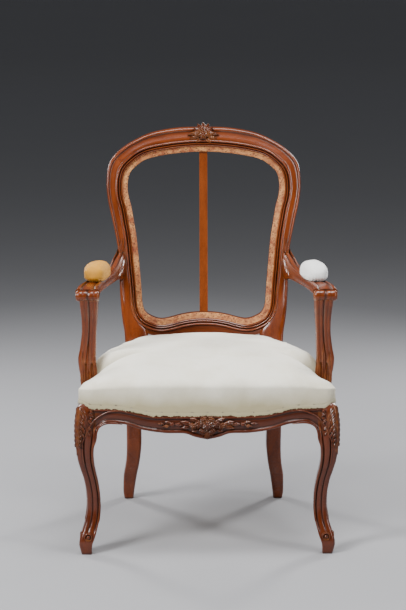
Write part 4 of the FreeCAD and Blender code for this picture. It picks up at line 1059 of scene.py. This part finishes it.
arm = {
    "underside": 575, "rootX": 203, "handX": 272.5, "handY": -184, "rootHeight": 74, "thickness": 26,
    "rows": [  # along, across, rise, width, root part, arm part
        (-0.012, 0.00, 31, 25, 1.05, 0.0), (0.00, 0.00, 29, 26, 1.0, 0.0), (0.105, 0.13, 25, 27, 0.55, 0.45),
        (0.23, 0.23, 22, 28, 0.22, 0.78), (0.41, 0.40, 20.5, 34, 0.02, 1.0), (0.60, 0.63, 19.5, 40, 0.0, 1.0),
        (0.77, 0.82, 18.5, 44, 0.0, 1.02), (0.92, 0.965, 16, 50, 0.0, 1.1), (1.00, 1.00, 12, 56, 0.0, 0.95)],
    "section": [  # across, up, stain
        (-0.5, 0.10, 0), (-0.5, -0.22, 0), (-0.43, -0.41, 0), (-0.29, -0.5, 0), (0, -0.5, 0), (0.29, -0.5, 0),
        (0.43, -0.41, 0), (0.5, -0.24, 0), (0.47, -0.12, 0.4), (0.435, -0.04, 1), (0.47, 0.04, 0.4),
        (0.5, 0.14, 0), (0.495, 0.30, 0), (0.44, 0.43, 0), (0.36, 0.5, 0), (0.31, 0.47, 0.3), (0.27, 0.38, 1),
        (0.22, 0.42, 0.4), (0.10, 0.46, 0), (0, 0.47, 0), (-0.10, 0.46, 0), (-0.22, 0.42, 0.4),
        (-0.27, 0.38, 1), (-0.31, 0.47, 0.3), (-0.36, 0.5, 0), (-0.44, 0.43, 0), (-0.495, 0.30, 0)],
    "leaves": [(0.035, 44, 60, 17), (0.08, 30, 52, 14), (0.15, 20, 44, 11)],  # along, up, length, width
    "stileLeaves": [  # across, up, length, width, lean
        (199, 668, 58, 15, 0.10), (203, 640, 46, 12, 0.26), (196, 636, 44, 10, 0.0)],
    "handRadius": 12.6,
    "eyeRadius": 10.4,
    "handEye": [  # share of radius, of height
        (1.0, 0.4), (0.95, 1.0), (0.80, 1.0), (0.72, 0.2), (0.60, 0.2), (0.52, 0.95), (0.40, 1.0),
        (0.32, 0.3), (0.24, 0.4), (0.16, 1.4), (0.0, 1.6)],
    "handMiddle": (0, 0.88, 1),
    "handHalf": [  # along the roll, share of the radius, stain
        (2.8, 0.96, 0.5), (5.0, 1.01, 0), (8.0, 1.02, 0), (11.5, 1.01, 0.2), (12.5, 0.99, 0.4),
        (13.5, 1.01, 0.2), (17.0, 1.03, 0), (21.0, 1.02, 0), (23.8, 0.95, 0), (25.2, 0.80, 0),
        (25.5, 0.55, 0), (25.5, 0.0, 0)],
}
rootY = backFace(arm["rootX"], arm["underside"] + 29, 14).y


def armSpot(along, across):
    return (arm["rootX"] + across * (arm["handX"] - arm["rootX"]), rootY + along * (arm["handY"] - rootY))


def turnRoll(mesh, outline, radius, centre, steps=40):
    # a turned roll whose axis runs along X
    rings = []
    for step in range(steps + 1):
        angle = 2 * math.pi * step / steps
        across, up = math.cos(angle), math.sin(angle)
        rings.append([centre + Vector((along, across * share * radius, up * share * radius))
                      for along, share, _ in outline])
    loft(mesh, rings, closedRing=False, caps=False, marks=[row[-1] for row in outline])


def buildArm():
    mesh = bmesh.new()
    rings = []
    for along, across, rise, width, rootPart, armPart in smoothPath(arm["rows"], 72):
        x, y = armSpot(along, across)
        height = rootPart * arm["rootHeight"] + armPart * arm["thickness"]
        z = arm["underside"] + rise
        rings.append([Vector((x + u * width, y, z + v * height)) for u, v, _ in arm["section"]])
    loft(mesh, rings, marks=[row[-1] for row in arm["section"]])
    hand = Vector((arm["handX"], arm["handY"], arm["underside"] + 8))
    mirrored = [(-along, share, stain) for along, share, stain in reversed(arm["handHalf"])]
    turnRoll(mesh, mirrored + [arm["handMiddle"]] + arm["handHalf"], arm["handRadius"], hand)
    # scroll eyes on both ends of the roll
    for side in (-1, 1):
        place = layOn(hand + Vector((side * 25.0, 0, 0)), (0, 0, 1), (side, 0, 0))
        knob(mesh, place, arm["eyeRadius"], 1.6, arm["handEye"])
    # leaves where the arm flows out of the stile
    for step, (along, rise, size, width) in enumerate(arm["leaves"]):
        x, y = armSpot(along, 0.02 + along)
        z = arm["underside"] + rise
        way = (0.20, -1, -0.42 + 0.12 * step)
        leaf(mesh, layOn((x + 13.5, y, z), way, (1, 0.12, 0.1)), size, width, 3.6, lobes=4, curl=2.0)
        leaf(mesh, layOn((x - 13, y - 2, z), way, (-1, -0.2, 0.1)), size * 0.8, width, 3.2, lobes=4, curl=1.6)
    # leaf that runs down the stile from the arm
    for x, z, size, width, lean in arm["stileLeaves"]:
        place = layOn(backFace(x, z, -0.5), (lean, 0, -1), (0.25, -1, 0.1))
        leaf(mesh, place, size, width, 3.4, lobes=4, curl=1.4)
    return mesh


armPost = {
    "outer": 300, "y": -136, "foot": 328, "depth": 44,
    "rows": [  # height, inset, width, forward, depth share
        (0.00, 10, 36, 0.0, 1.0), (0.15, 10, 36, 0.0, 1.0), (0.25, 8.5, 37, 0.05, 0.95),
        (0.33, 5, 40, 0.1, 0.86),
        (0.42, 3.5, 41, 0.15, 0.78), (0.52, 8, 37.5, 0.2, 0.72), (0.66, 12.5, 34, 0.3, 0.68),
        (0.80, 12.5, 36.5, 0.47, 0.68), (0.94, 9.5, 42, 0.72, 0.75), (1.04, 8, 45, 0.85, 0.82)],
    "leaves": [  # share across, height, length, width, rise, lean
        (-0.27, 352, 96, 15, 4.6, -0.04), (0.27, 352, 96, 15, 4.6, 0.04), (0.0, 350, 118, 17, 5.4, 0.0),
        (-0.38, 352, 70, 10, 3.4, -0.05), (0.38, 352, 70, 10, 3.4, 0.05),
        (-0.14, 352, 70, 11, 6.6, -0.03), (0.14, 352, 70, 11, 6.6, 0.03)],
    "section": [  # across, towards the back, stain
        (-0.5, -0.26, 0), (-0.495, -0.37, 0), (-0.455, -0.455, 0), (-0.38, -0.5, 0), (-0.31, -0.49, 0),
        (-0.265, -0.46, 0.25), (-0.225, -0.46, 0.25), (-0.18, -0.48, 0), (-0.11, -0.49, 0),
        (-0.055, -0.46, 0.3),
        (0, -0.40, 1), (0.055, -0.46, 0.3), (0.11, -0.49, 0), (0.18, -0.48, 0), (0.225, -0.46, 0.25),
        (0.265, -0.46, 0.25), (0.31, -0.49, 0), (0.38, -0.5, 0), (0.455, -0.455, 0), (0.495, -0.37, 0),
        (0.5, -0.26, 0), (0.485, -0.17, 0.3), (0.44, -0.10, 1), (0.485, -0.03, 0.3), (0.5, 0.08, 0),
        (0.5, 0.36, 0), (0.43, 0.47, 0), (0.30, 0.5, 0), (-0.30, 0.5, 0), (-0.43, 0.47, 0), (-0.5, 0.36, 0),
        (-0.5, 0.08, 0), (-0.485, -0.03, 0.3), (-0.44, -0.10, 1), (-0.485, -0.17, 0.3)],
}


def buildPost():
    mesh = bmesh.new()
    rings, marks = [], []
    for height, inset, width, forward, share in smoothPath(armPost["rows"], 70):
        x = armPost["outer"] - inset - width / 2
        y = armPost["y"] + forward * (arm["handY"] - armPost["y"])
        z = armPost["foot"] + height * (arm["underside"] - armPost["foot"])
        depth = armPost["depth"] * share
        rings.append([Vector((x + u * width, y + v * depth, z)) for u, v, _ in armPost["section"]])
        dark = 0.25 + 0.75 * smoothStep(420, 450, z)
        marks.append([row[-1] * dark for row in armPost["section"]])
    loft(mesh, rings, marks=marks)
    # acanthus at the foot, its leaves pointing up
    span = arm["underside"] - armPost["foot"]
    for offset, z, size, width, rise, lean in armPost["leaves"]:
        inset, full, forward, share = Vector(blendTable(armPost["rows"], (z - armPost["foot"]) / span))
        x = armPost["outer"] - inset - full / 2 + offset * full
        y = armPost["y"] + forward * (arm["handY"] - armPost["y"]) - armPost["depth"] * share / 2
        place = layOn((x, y + 1.5, z), (lean, -0.02, 1), (offset * 0.5, -1, 0))
        leaf(mesh, place, size, width, rise, lobes=5, curl=2.4)
    return mesh


rightAndLeft("arm", buildArm(), armBeech, "arm")
rightAndLeft("armPost", buildPost(), uprightBeech, "arm_post")
print("arms ready")


# seat rails

apron = {
    "low": [
        (0, 270), (28, 276), (52, 284), (96, 285), (145, 292), (184, 304), (225, 307), (243, 299), (258, 284),
        (268, 268)],
    "front": -296, "bow": 9, "half": 252, "end": 266, "thickness": 25, "flowerHeight": 303,
    "profile": [  # from the lower edge: rise, depth, stain
        (1.0, 5.0, 0), (0.2, 3.0, 0), (0.8, 0.6, 0), (2.6, -1.0, 0), (5.2, -1.2, 0), (7.2, 0.2, 0.2),
        (8.4, 3.0, 1), (9.6, 3.6, 0.7), (12.0, 2.7, 0.2)],
    "topProfile": [  # down from the cover's edge
        (12.5, 2.6, 0.2), (10.0, 3.2, 0.7), (8.8, 2.6, 1), (7.6, 0.3, 0.2), (5.6, -0.9, 0), (3.4, -0.8, 0),
        (1.8, 0.6, 0.2), (0.8, 2.4, 0.8)],
    "leaves": [  # out, up, way out, way up, length, width, rise
        (22, 9, 1.0, 0.55, 19, 12, 4.6), (25, 1, 1.0, 0.05, 19, 12, 4.8), (20, -7, 1.0, -0.60, 17, 11, 4.4),
        (38, 3, 1.0, 0.30, 24, 12, 4.4), (38, -2, 1.0, -0.22, 23, 11, 4.2), (52, 2, 1.0, 0.05, 24, 10, 4.0),
        (82, 5, 1.0, 0.30, 16, 8, 3.6), (84, 0, 1.0, -0.15, 18, 8, 3.6), (98, 3, 1.0, 0.10, 15, 7, 3.2)],
    "flowers": [(19, 4, 10.5), (11, -11, 8.5), (9, 14, 8.0), (31, -2, 7.5)],  # out, up, radius
    "buds": [(80, 305.5, 5.2, 5.0), (92, 301, 3.8, 4.0)],
    "pendant": [(-38, 20), (38, 20), (-14, 23), (14, 23), (0, 24)],  # angle, length
}


def apronFront(x):
    return apron["front"] + apron["bow"] * (x / apron["half"]) ** 2


def buildApron():
    mesh = bmesh.new()
    lowTable = [tuple(p) for p in smoothPath(apron["low"], 80)]
    thick = apron["thickness"]
    rings = []
    for step in range(121):
        x = -apron["end"] + 2 * apron["end"] * step / 120
        low, top = blendTable(lowTable, abs(x))[0], showLine(x)
        ring = [(depth, low + rise) for rise, depth, _ in apron["profile"]]
        ring += [(depth, top - fall) for fall, depth, _ in apron["topProfile"]]
        ring += [(2.6, top + 2), (2.6, railTop), (thick, railTop), (thick, low + 4), (thick - 3, low + 1)]
        rings.append([Vector((x, apronFront(x) + depth, z)) for depth, z in ring])
    loft(mesh, rings, marks=[row[-1] for row in apron["profile"] + apron["topProfile"]] + [0] * 5)
    # the carved flower, its leaves, the buds and the pendant
    facing = (0, -1, 0)
    middle = Vector((0, apron["front"] + 0.5, apron["flowerHeight"]))
    for side in (-1, 1):
        for out, up, wayOut, wayUp, size, width, rise in apron["leaves"]:
            start = (side * out, apronFront(out) + 1.2, middle.z + up)
            leaf(mesh, layOn(start, (side * wayOut, 0, wayUp), facing), size, width, rise,
                 lobes=2, curl=1.8, sway=side * wayUp * 3)
        for out, up, size in apron["flowers"]:
            start = (side * out, apronFront(out) - 1.6, middle.z + up)
            flower(mesh, layOn(start, (side * 0.4, 0, 1), facing), size, petals=5, rise=3.8)
        for out, z, radius, rise in apron["buds"]:
            knob(mesh, layOn((side * out, apronFront(out) + 1.4, z), (0, 0, 1), facing), radius, rise)
    for angle, size in apron["pendant"]:
        way = (math.sin(math.radians(angle)), 0, -math.cos(math.radians(angle)))
        leaf(mesh, layOn(middle + Vector((0, 0, -8)), way, facing), size, 9, 4.8, lobes=0, curl=2.4)
    flower(mesh, layOn(middle + Vector((0, -3.4, 3)), (0, 0, 1), facing), 13.0, petals=6, rise=4.2)
    return mesh


sideRail = {
    "frontX": 294, "frontY": -251, "rearX": 192, "rearY": 139.75, "bow": 12, "thickness": 29, "low": 300}


def sideFace(y):
    share = (y - sideRail["frontY"]) / (sideRail["rearY"] - sideRail["frontY"])
    straight = sideRail["frontX"] + share * (sideRail["rearX"] - sideRail["frontX"])
    return straight + 4 * sideRail["bow"] * share * (1 - share)


def buildSideRail():
    mesh = bmesh.new()
    rings = []
    thick, base = sideRail["thickness"], sideRail["low"]
    outline = apron["profile"] + [(42 - fall, depth, stain) for fall, depth, stain in apron["topProfile"]]
    outline += [(44, 2.6, 0), (52, 2.6, 0), (52, thick, 0), (3, thick, 0), (0.5, thick - 3, 0)]
    for step in range(61):
        y = sideRail["frontY"] + (sideRail["rearY"] - sideRail["frontY"]) * step / 60
        share = step / 60
        low = base + 3.5 * math.sin(math.pi * share) ** 2
        low -= 2.0 * smoothStep(0.88, 1, share)
        low -= 2 * smoothStep(0.12, 0, share)
        rings.append([Vector((sideFace(y) - depth, y, (base if rise > 20 else low) + rise))
                      for rise, depth, _ in outline])
    loft(mesh, rings, marks=[row[-1] for row in outline])
    return mesh


piece("frontSeatRail", buildApron(), apronBeech, ["front_seat_rail"])
rightAndLeft("sideRail", buildSideRail(), armBeech, "side_seat_rail")
print("rails ready")


# seat

seat = {
    "corner": 34,
    "profile": [  # height share, drawn in at front, side and rear
        (0.00, 0, 0, 0), (0.20, 0, 0, 0), (0.40, 0, 0, 0), (0.50, 4, 2, 1), (0.60, 14, 7, 2),
        (0.68, 28, 12, 4), (0.76, 48, 20, 7), (0.84, 80, 34, 12), (0.91, 118, 54, 20),
        (0.96, 156, 82, 34), (1.00, 205, 128, 64)],
    "crown": 92,
    "around": 320,
    "middle": -28,
    "folds": [  # from, to, width, depth
        ((-262, -168), (-118, -102), 12, 12.0), ((-250, -88), (-170, -40), 9, 4.0),
        ((-250, -190), (-196, -206), 9, 3.4), ((210, 20), (254, -116), 11, 6.0),
        ((262, -164), (170, -112), 12, 9.5), ((250, -190), (200, -206), 9, 3.0)],
    "pull": 42,  # how far the cloth is drawn down to each post, and where
    "pullReach": 60,
    "post": (276, -150),
}


def seatLoop(frontIn, sideIn, rearIn, rearSideIn, count):
    # the seat's outline in plan, from the middle of the front round to the right
    radius = seat["corner"] + (frontIn + sideIn) * 0.06
    frontY, cornerY = -295.5 + frontIn, -286.5 + frontIn
    cornerX, rearX = 292 - sideIn, 191 - rearSideIn
    rearY = 166.2 - rearIn
    points = []
    for step in range(9):
        x = (cornerX - radius) * step / 9
        points.append((x, frontY + (cornerY - frontY) * (x / (cornerX - radius)) ** 2))
    for step in range(5):
        turn = quarter * step / 4
        x = cornerX - radius + radius * math.sin(turn)
        points.append((x, cornerY + radius - radius * math.cos(turn)))
    start, end = cornerY + radius, rearY - radius
    bow = 12 * (rearY - cornerY) / 453.2
    for step in range(1, 12):
        share = step / 12
        x = cornerX + (rearX - cornerX) * share + 4 * bow * share * (1 - share)
        points.append((x, start + (end - start) * share))
    for step in range(5):
        turn = quarter * step / 4
        points.append((rearX - radius + radius * math.cos(turn), rearY - radius + radius * math.sin(turn)))
    for step in range(1, 7):
        points.append(((rearX - radius) * (1 - step / 6), rearY))
    return evenLoop(mirroredLoop(points), count)


def insetLoop(frontIn, sideIn, rearIn, extra, count):
    frontIn, sideIn, rearIn, rearSideIn = (extra + max(v, 0) for v in (frontIn, sideIn, rearIn, sideIn * 0.6))
    return seatLoop(frontIn, sideIn, rearIn, rearSideIn, count)


def buildSeat():
    mesh = bmesh.new()
    rings = []
    for share, frontIn, sideIn, rearIn in smoothPath(seat["profile"], 84):
        ring = []
        for p in insetLoop(frontIn, sideIn, rearIn, 0, seat["around"]):
            hem = hemAt(p.x, p.y)
            z = railTop + share * seat["crown"]
            if share < 0.2:
                z = hem + (railTop + 0.2 * seat["crown"] - hem) * (share / 0.2)
            ring.append(Vector((p.x, p.y, z)))
        rings.append(ring)
    turnedIn = [Vector((p.x * 0.985, p.y * 0.985, p.z + 1)) for p in rings[0]]
    last = rings[-1]
    for step in range(1, 30):
        share = step / 30
        z = last[0].z + 3.0 * math.sin(share * quarter)
        rings.append([Vector((*p.xy.lerp(Vector((0, seat["middle"])), share), z)) for p in last])
    loft(mesh, [turnedIn] + rings, caps=False)
    for low in (420, 0):  # close the top, then the underside
        rim = [e for e in mesh.edges if e.is_boundary and e.verts[0].co.z > low]
        bmesh.ops.poke(mesh, faces=bmesh.ops.contextual_create(mesh, geom=rim)["faces"])
    return mesh


def softNoise(x, y, z, size, height):
    return noise.noise(Vector((x * size, y * size, z))) * height


def foldsOnSeat(item):
    postX, postY = seat["post"]
    for vert in item.data.vertices:
        place = vert.co * 1000
        topness = smoothStep(372, 402, place.z)
        drop = 0.0
        for (x1, y1), (x2, y2), width, depth in seat["folds"]:
            start, end = Vector((x1, y1)), Vector((x2, y2))
            along = end - start
            here = Vector((place.x, place.y)) - start
            share = here.dot(along) / along.length_squared
            off = abs(here.x * along.y - here.y * along.x) / along.length
            reach = smoothStep(-0.12, 0.10, share) * smoothStep(1.12, 0.55, share)
            drop += depth * reach * math.exp(-(off / width) ** 2)
            drop -= depth * 0.45 * reach * math.exp(-((off - width * 1.9) / width) ** 2)
        # cloth drawn to each post
        for side in (-1, 1):
            stretch = 3.0 if place.y > postY else 0.56
            away = Vector((place.x - side * postX, (place.y - postY) * stretch)).length
            drop += seat["pull"] * math.exp(-(away / seat["pullReach"]) ** 2)
        # seams at the front corners
        seam = 2 * math.exp(-((abs(place.x) - 267) / 2.2) ** 2) * smoothStep(-255, -275, place.y)
        lean = softNoise(place.x, place.y, 3.1, 0.016, 1.6)
        lean += softNoise(place.x, place.y, 8.2, 0.05, 0.5)
        ripple = noise.noise(Vector((place.x * 0.045, place.z * 0.012, 1.7))) * 1.3
        ripple = ripple * smoothStep(398, 345, place.z)
        outward = Vector((place.x, place.y + 30, 0)).normalized()
        if abs(place.x) < 195:
            drop -= (1.6 + 2.6 * math.cos(math.pi * place.x / 130)) * smoothStep(-60, 60, place.y)
        place.z -= drop * topness
        place.z += lean * topness
        place -= outward * seam * 1.6 * smoothStep(400, 372, place.z)
        if place.z < 400:
            place += outward * ripple * smoothStep(326, 345, place.z)
        vert.co = place * metre


seatCushion = piece("seatCushion", buildSeat(), muslin, ["seat_cover", "seat_stuffing"], sharp=80)
foldsOnSeat(seatCushion)


def buildHem():
    # the cut edge of the muslin, frayed below the tacks
    mesh = bmesh.new()
    front = [[], [], []]
    for p in seatLoop(-0.6, -0.6, -0.6, -0.6, 760):
        hem = hemAt(p.x, p.y)
        ragged = abs(softNoise(p.x, p.y, 4.4, 0.35, 5.0)) + abs(softNoise(p.x, p.y, 9.4, 0.07, 5.0))
        push = softNoise(p.x, p.y, 1.4, 0.22, 0.5)
        out = Vector((p.x, p.y + 30, 0)).normalized()
        for ring, z, away in zip(front, (hem + 7, hem + 2, hem + 1 - ragged), (0.3, 0.9 + push, 0.5 + push)):
            ring.append(Vector((p.x, p.y, z)) + out * away)
    behind = [[p - Vector((p.x, p.y + 30, 0)).normalized() * 0.5 for p in ring] for ring in reversed(front)]
    loft(mesh, front + behind + front[:1], caps=False)
    return mesh


def buildThreads():
    mesh = bmesh.new()
    for p in seatLoop(-1.4, -1.4, -1.4, -1.4, 330):
        if random.random() < 0.35:
            continue
        fall = random.uniform(2.5, 8.0)
        lean = Vector((random.uniform(-2.5, 2.5), random.uniform(-1.5, 1.5), 0))
        start = Vector((p.x, p.y, hemAt(p.x, p.y) + 1))
        path = [start, start + lean * 0.4 - Vector((0, 0, fall * 0.5)), start + lean - Vector((0, 0, fall))]
        strand(mesh, path, 0.32, sides=4)
    return mesh


hem = piece("seatHem", buildHem(), muslin)
threads = piece("hemThreads", buildThreads(), muslin)
print("seat ready")


# elbow pads

pad = {"length": 116, "width": 56, "height": 42, "turn": 10, "base": 605.5}


def buildPad(seed):
    mesh = bmesh.new()
    bmesh.ops.create_icosphere(mesh, subdivisions=5, radius=1)
    x0, y0 = armSpot(0.69, 0.725)
    for vert in mesh.verts:
        u, v, w = vert.co
        square = (abs(u) ** 2.6 + abs(v) ** 2.6 + abs(w) ** 2.6) ** (1 / 2.6)
        u, v, w = u / square, v / square, w / square
        x = u * pad["width"] / 2
        y = v * pad["length"] / 2
        z = (w * 0.62 + 0.38) * pad["height"] if w > -0.613 else 0.0
        pinch = smoothStep(9, 0, z)
        x *= 1 - 0.16 * pinch
        y *= 1 - 0.05 * pinch
        lump = noise.noise(Vector((x * 0.05, y * 0.04, z * 0.05 + seed))) * 1.1
        gather = math.sin(math.atan2(y / 58, x / 28) * 26 + seed) * 0.5
        gather = gather * smoothStep(16, 3, z) * smoothStep(0.2, 0.7, abs(u) + abs(v))
        swell = 1 + (lump + gather) / 30
        vert.co = Vector((x * swell, y * swell, z * (1 + lump / 42)))
    turn = Matrix.Translation((x0, y0, pad["base"])) @ Matrix.Rotation(math.radians(pad["turn"]), 4, "Z")
    bmesh.ops.transform(mesh, matrix=turn, verts=mesh.verts)
    return mesh


padRight = piece("padRight", buildPad(2.0), whiteCloth, ["arm_pad_cover_right", "arm_pad_stuffing_right"],
                 sharp=80)
padLeft = piece("padLeft", buildPad(5.0), goldCloth, ["arm_pad_cover_left", "arm_pad_stuffing_left"],
                flip=True, sharp=80)
print("pads ready")


# under the seat: webbing, springs and hessian

underSeat = {
    "strap": 50, "thick": 1.5, "level": 299.25, "lengthPitch": 62, "crossPitch": 74, "crossMiddle": -55.6,
    "front": -275, "rear": 162.7, "springPitch": 96, "springRadius": 38, "springWaist": 24, "wire": 3.6,
    "springLow": 302, "springHigh": 393, "turns": 4,
    "hessian": [  # height share, drawn in at front, side and rear
        (0.0, 0, 0, 0), (0.30, 8, 5, 4), (0.62, 30, 18, 14), (0.86, 66, 42, 32), (1.0, 120, 84, 62)],
    "hessianRise": 50, "hessianThick": 1.2, "hessianInset": 10,
}


def strapAlong(mesh, path, across, width, thick):
    # a flat band, a hair thicker in the middle
    side, up = across * (width / 2), Vector((0, 0, thick / 2))
    corners = ((-1, -1), (-0.5, -1.1), (0.5, -1.1), (1, -1), (1, 1), (0.5, 1.1), (-0.5, 1.1), (-1, 1))
    loft(mesh, [[place + side * u + up * v for u, v in corners] for place in path])


def buildWebbing():
    # straps that pass over and under each other
    lengthwise, crosswise = bmesh.new(), bmesh.new()
    thick = underSeat["thick"] * 0.8
    lines = [(i - 2) * underSeat["lengthPitch"] for i in range(5)]
    rows = [underSeat["crossMiddle"] + (i - 2) * underSeat["crossPitch"] for i in range(5)]

    def wave(place, places, sign):
        lift = sum(math.exp(-((place - p) / 26) ** 4) * (1 if k % 2 else -1) for k, p in enumerate(places))
        return sign * lift * 0.9

    for index, x in enumerate(lines):
        span = underSeat["rear"] - underSeat["front"]
        path = []
        for step in range(90):
            y = underSeat["front"] + span * step / 89
            path.append(Vector((x, y, underSeat["level"] + wave(y, rows, 1 if index % 2 else -1))))
        strapAlong(lengthwise, path, Vector((1, 0, 0)), underSeat["strap"], thick)
    for index, y in enumerate(rows):
        reach = sideFace(y + 25) - 4
        path = []
        for step in range(110):
            x = -reach + 2 * reach * step / 109
            path.append(Vector((x, y, underSeat["level"] - wave(x, lines, 1 if index % 2 else -1))))
        strapAlong(crosswise, path, Vector((0, 1, 0)), underSeat["strap"], thick)
    return lengthwise, crosswise


def buildSprings():
    mesh = bmesh.new()
    high, low, waist = underSeat["springHigh"], underSeat["springLow"], underSeat["springWaist"]
    pitch, turns = underSeat["springPitch"], underSeat["turns"]
    steps = 26 * turns
    for i in (-1, 0, 1):
        for j in (-1, 0, 1):
            centre = Vector((i * pitch, underSeat["crossMiddle"] + j * pitch, 0))
            path = []
            for step in range(steps + 1):
                share = step / steps
                turn = 2 * math.pi * turns * share
                radius = waist + (underSeat["springRadius"] - waist) * abs(2 * share - 1) ** 1.3
                rise = smoothStep(0.06, 0.94, share) * 0.35 + 0.65 * min(max((share - 0.12) / 0.76, 0), 1)
                path.append(centre + Vector((
                    radius * math.cos(turn), radius * math.sin(turn), low + (high - low) * rise)))
            strand(mesh, path, underSeat["wire"] / 2, sides=7, ends=False)
    return mesh


def buildHessian():
    # a cloth with an upper and a lower face over the springs
    mesh = bmesh.new()
    outer, inner = [], []
    for share, frontIn, sideIn, rearIn in smoothPath(underSeat["hessian"], 14):
        for drop, rings in ((0, outer), (underSeat["hessianThick"], inner)):
            loop = insetLoop(frontIn, sideIn, rearIn, underSeat["hessianInset"] + drop, 120)
            z = railTop + share * underSeat["hessianRise"] - drop
            rings.append([Vector((p.x, p.y, z)) for p in loop])
    for rings in (outer, inner):
        last = rings[-1]
        centre = Vector((0, seat["middle"], last[0].z + 1.5))
        for share in (0.3, 0.6, 0.85, 0.97):
            rings.append([p.lerp(centre, share) for p in last])
    loft(mesh, list(reversed(inner)) + outer, caps=True)
    return mesh


alongStraps, acrossStraps = buildWebbing()
alongSheet = piece(
    "webbingLengthwise", alongStraps, juteCloth, ["webbing_lengthwise"])
acrossSheet = piece(
    "webbingCrosswise", acrossStraps, juteCloth, ["webbing_crosswise"])
piece("seatSprings", buildSprings(), springSteel, ["seat_springs"])
hessianSheet = piece("seatHessian", buildHessian(), hessianCloth, ["seat_hessian"])


# pegs, flush with the wood that they lock

pegs = {
    "radius": 3,
    "levels": (326 - 8.2, 326 + 8.2),
    "end": [(1.0, 0.0), (1.0, 0.985), (0.86, 1.0), (0.0, 1.004)],  # share of radius, of length
    "rails": [  # x, y, way in, length
        (262.5, -293.2, (0, 1, 0), 30), (298.2, -259, (-1, 0, 0), 30), (192.3, 141.8, (-1, 0, 0), 22),
        (167, 172.2, (0, -1, 0), 22)],
    "back": [(199.9, 859.4), (163, 460)],
}


def buildPegs():
    mesh = bmesh.new()
    rows = [((x, y, z), way, length) for z in pegs["levels"] for x, y, way, length in pegs["rails"]]
    rows += [(tuple(backFace(x, z, 27.8)), (0, -1, 0.19), 22) for x, z in pegs["back"]]
    for place, inward, length in rows:
        for side in (1, -1):
            start = Vector((place[0] * side, place[1], place[2]))
            way = Vector((inward[0] * side, inward[1], inward[2]))
            knob(mesh, layOn(start + way * length, (0, 0, 1), -way), pegs["radius"], length, pegs["end"])
    return mesh


piece("jointPegs", buildPegs(), pegBeech, ["joint_pegs"])


def finishNode(name, finish):
    # a CAD node keeps its shape and gets its look
    item = next(o for o in bpy.data.objects if o.name == name or o.name.startswith(name + "."))
    item.data.materials.clear()
    item.data.materials.append(finish)


for name, finish in (
        ("back_batten", battenBeech), ("rear_seat_rail", crossBeech), ("corner_blocks", rawBeech),
        ("corner_block_screws", screwSteel), ("arm_post_screws", screwSteel), ("cover_tacks", dullTack),
        ("webbing_tacks", tackIron)):
    finishNode(name, finish)
print("under side ready")
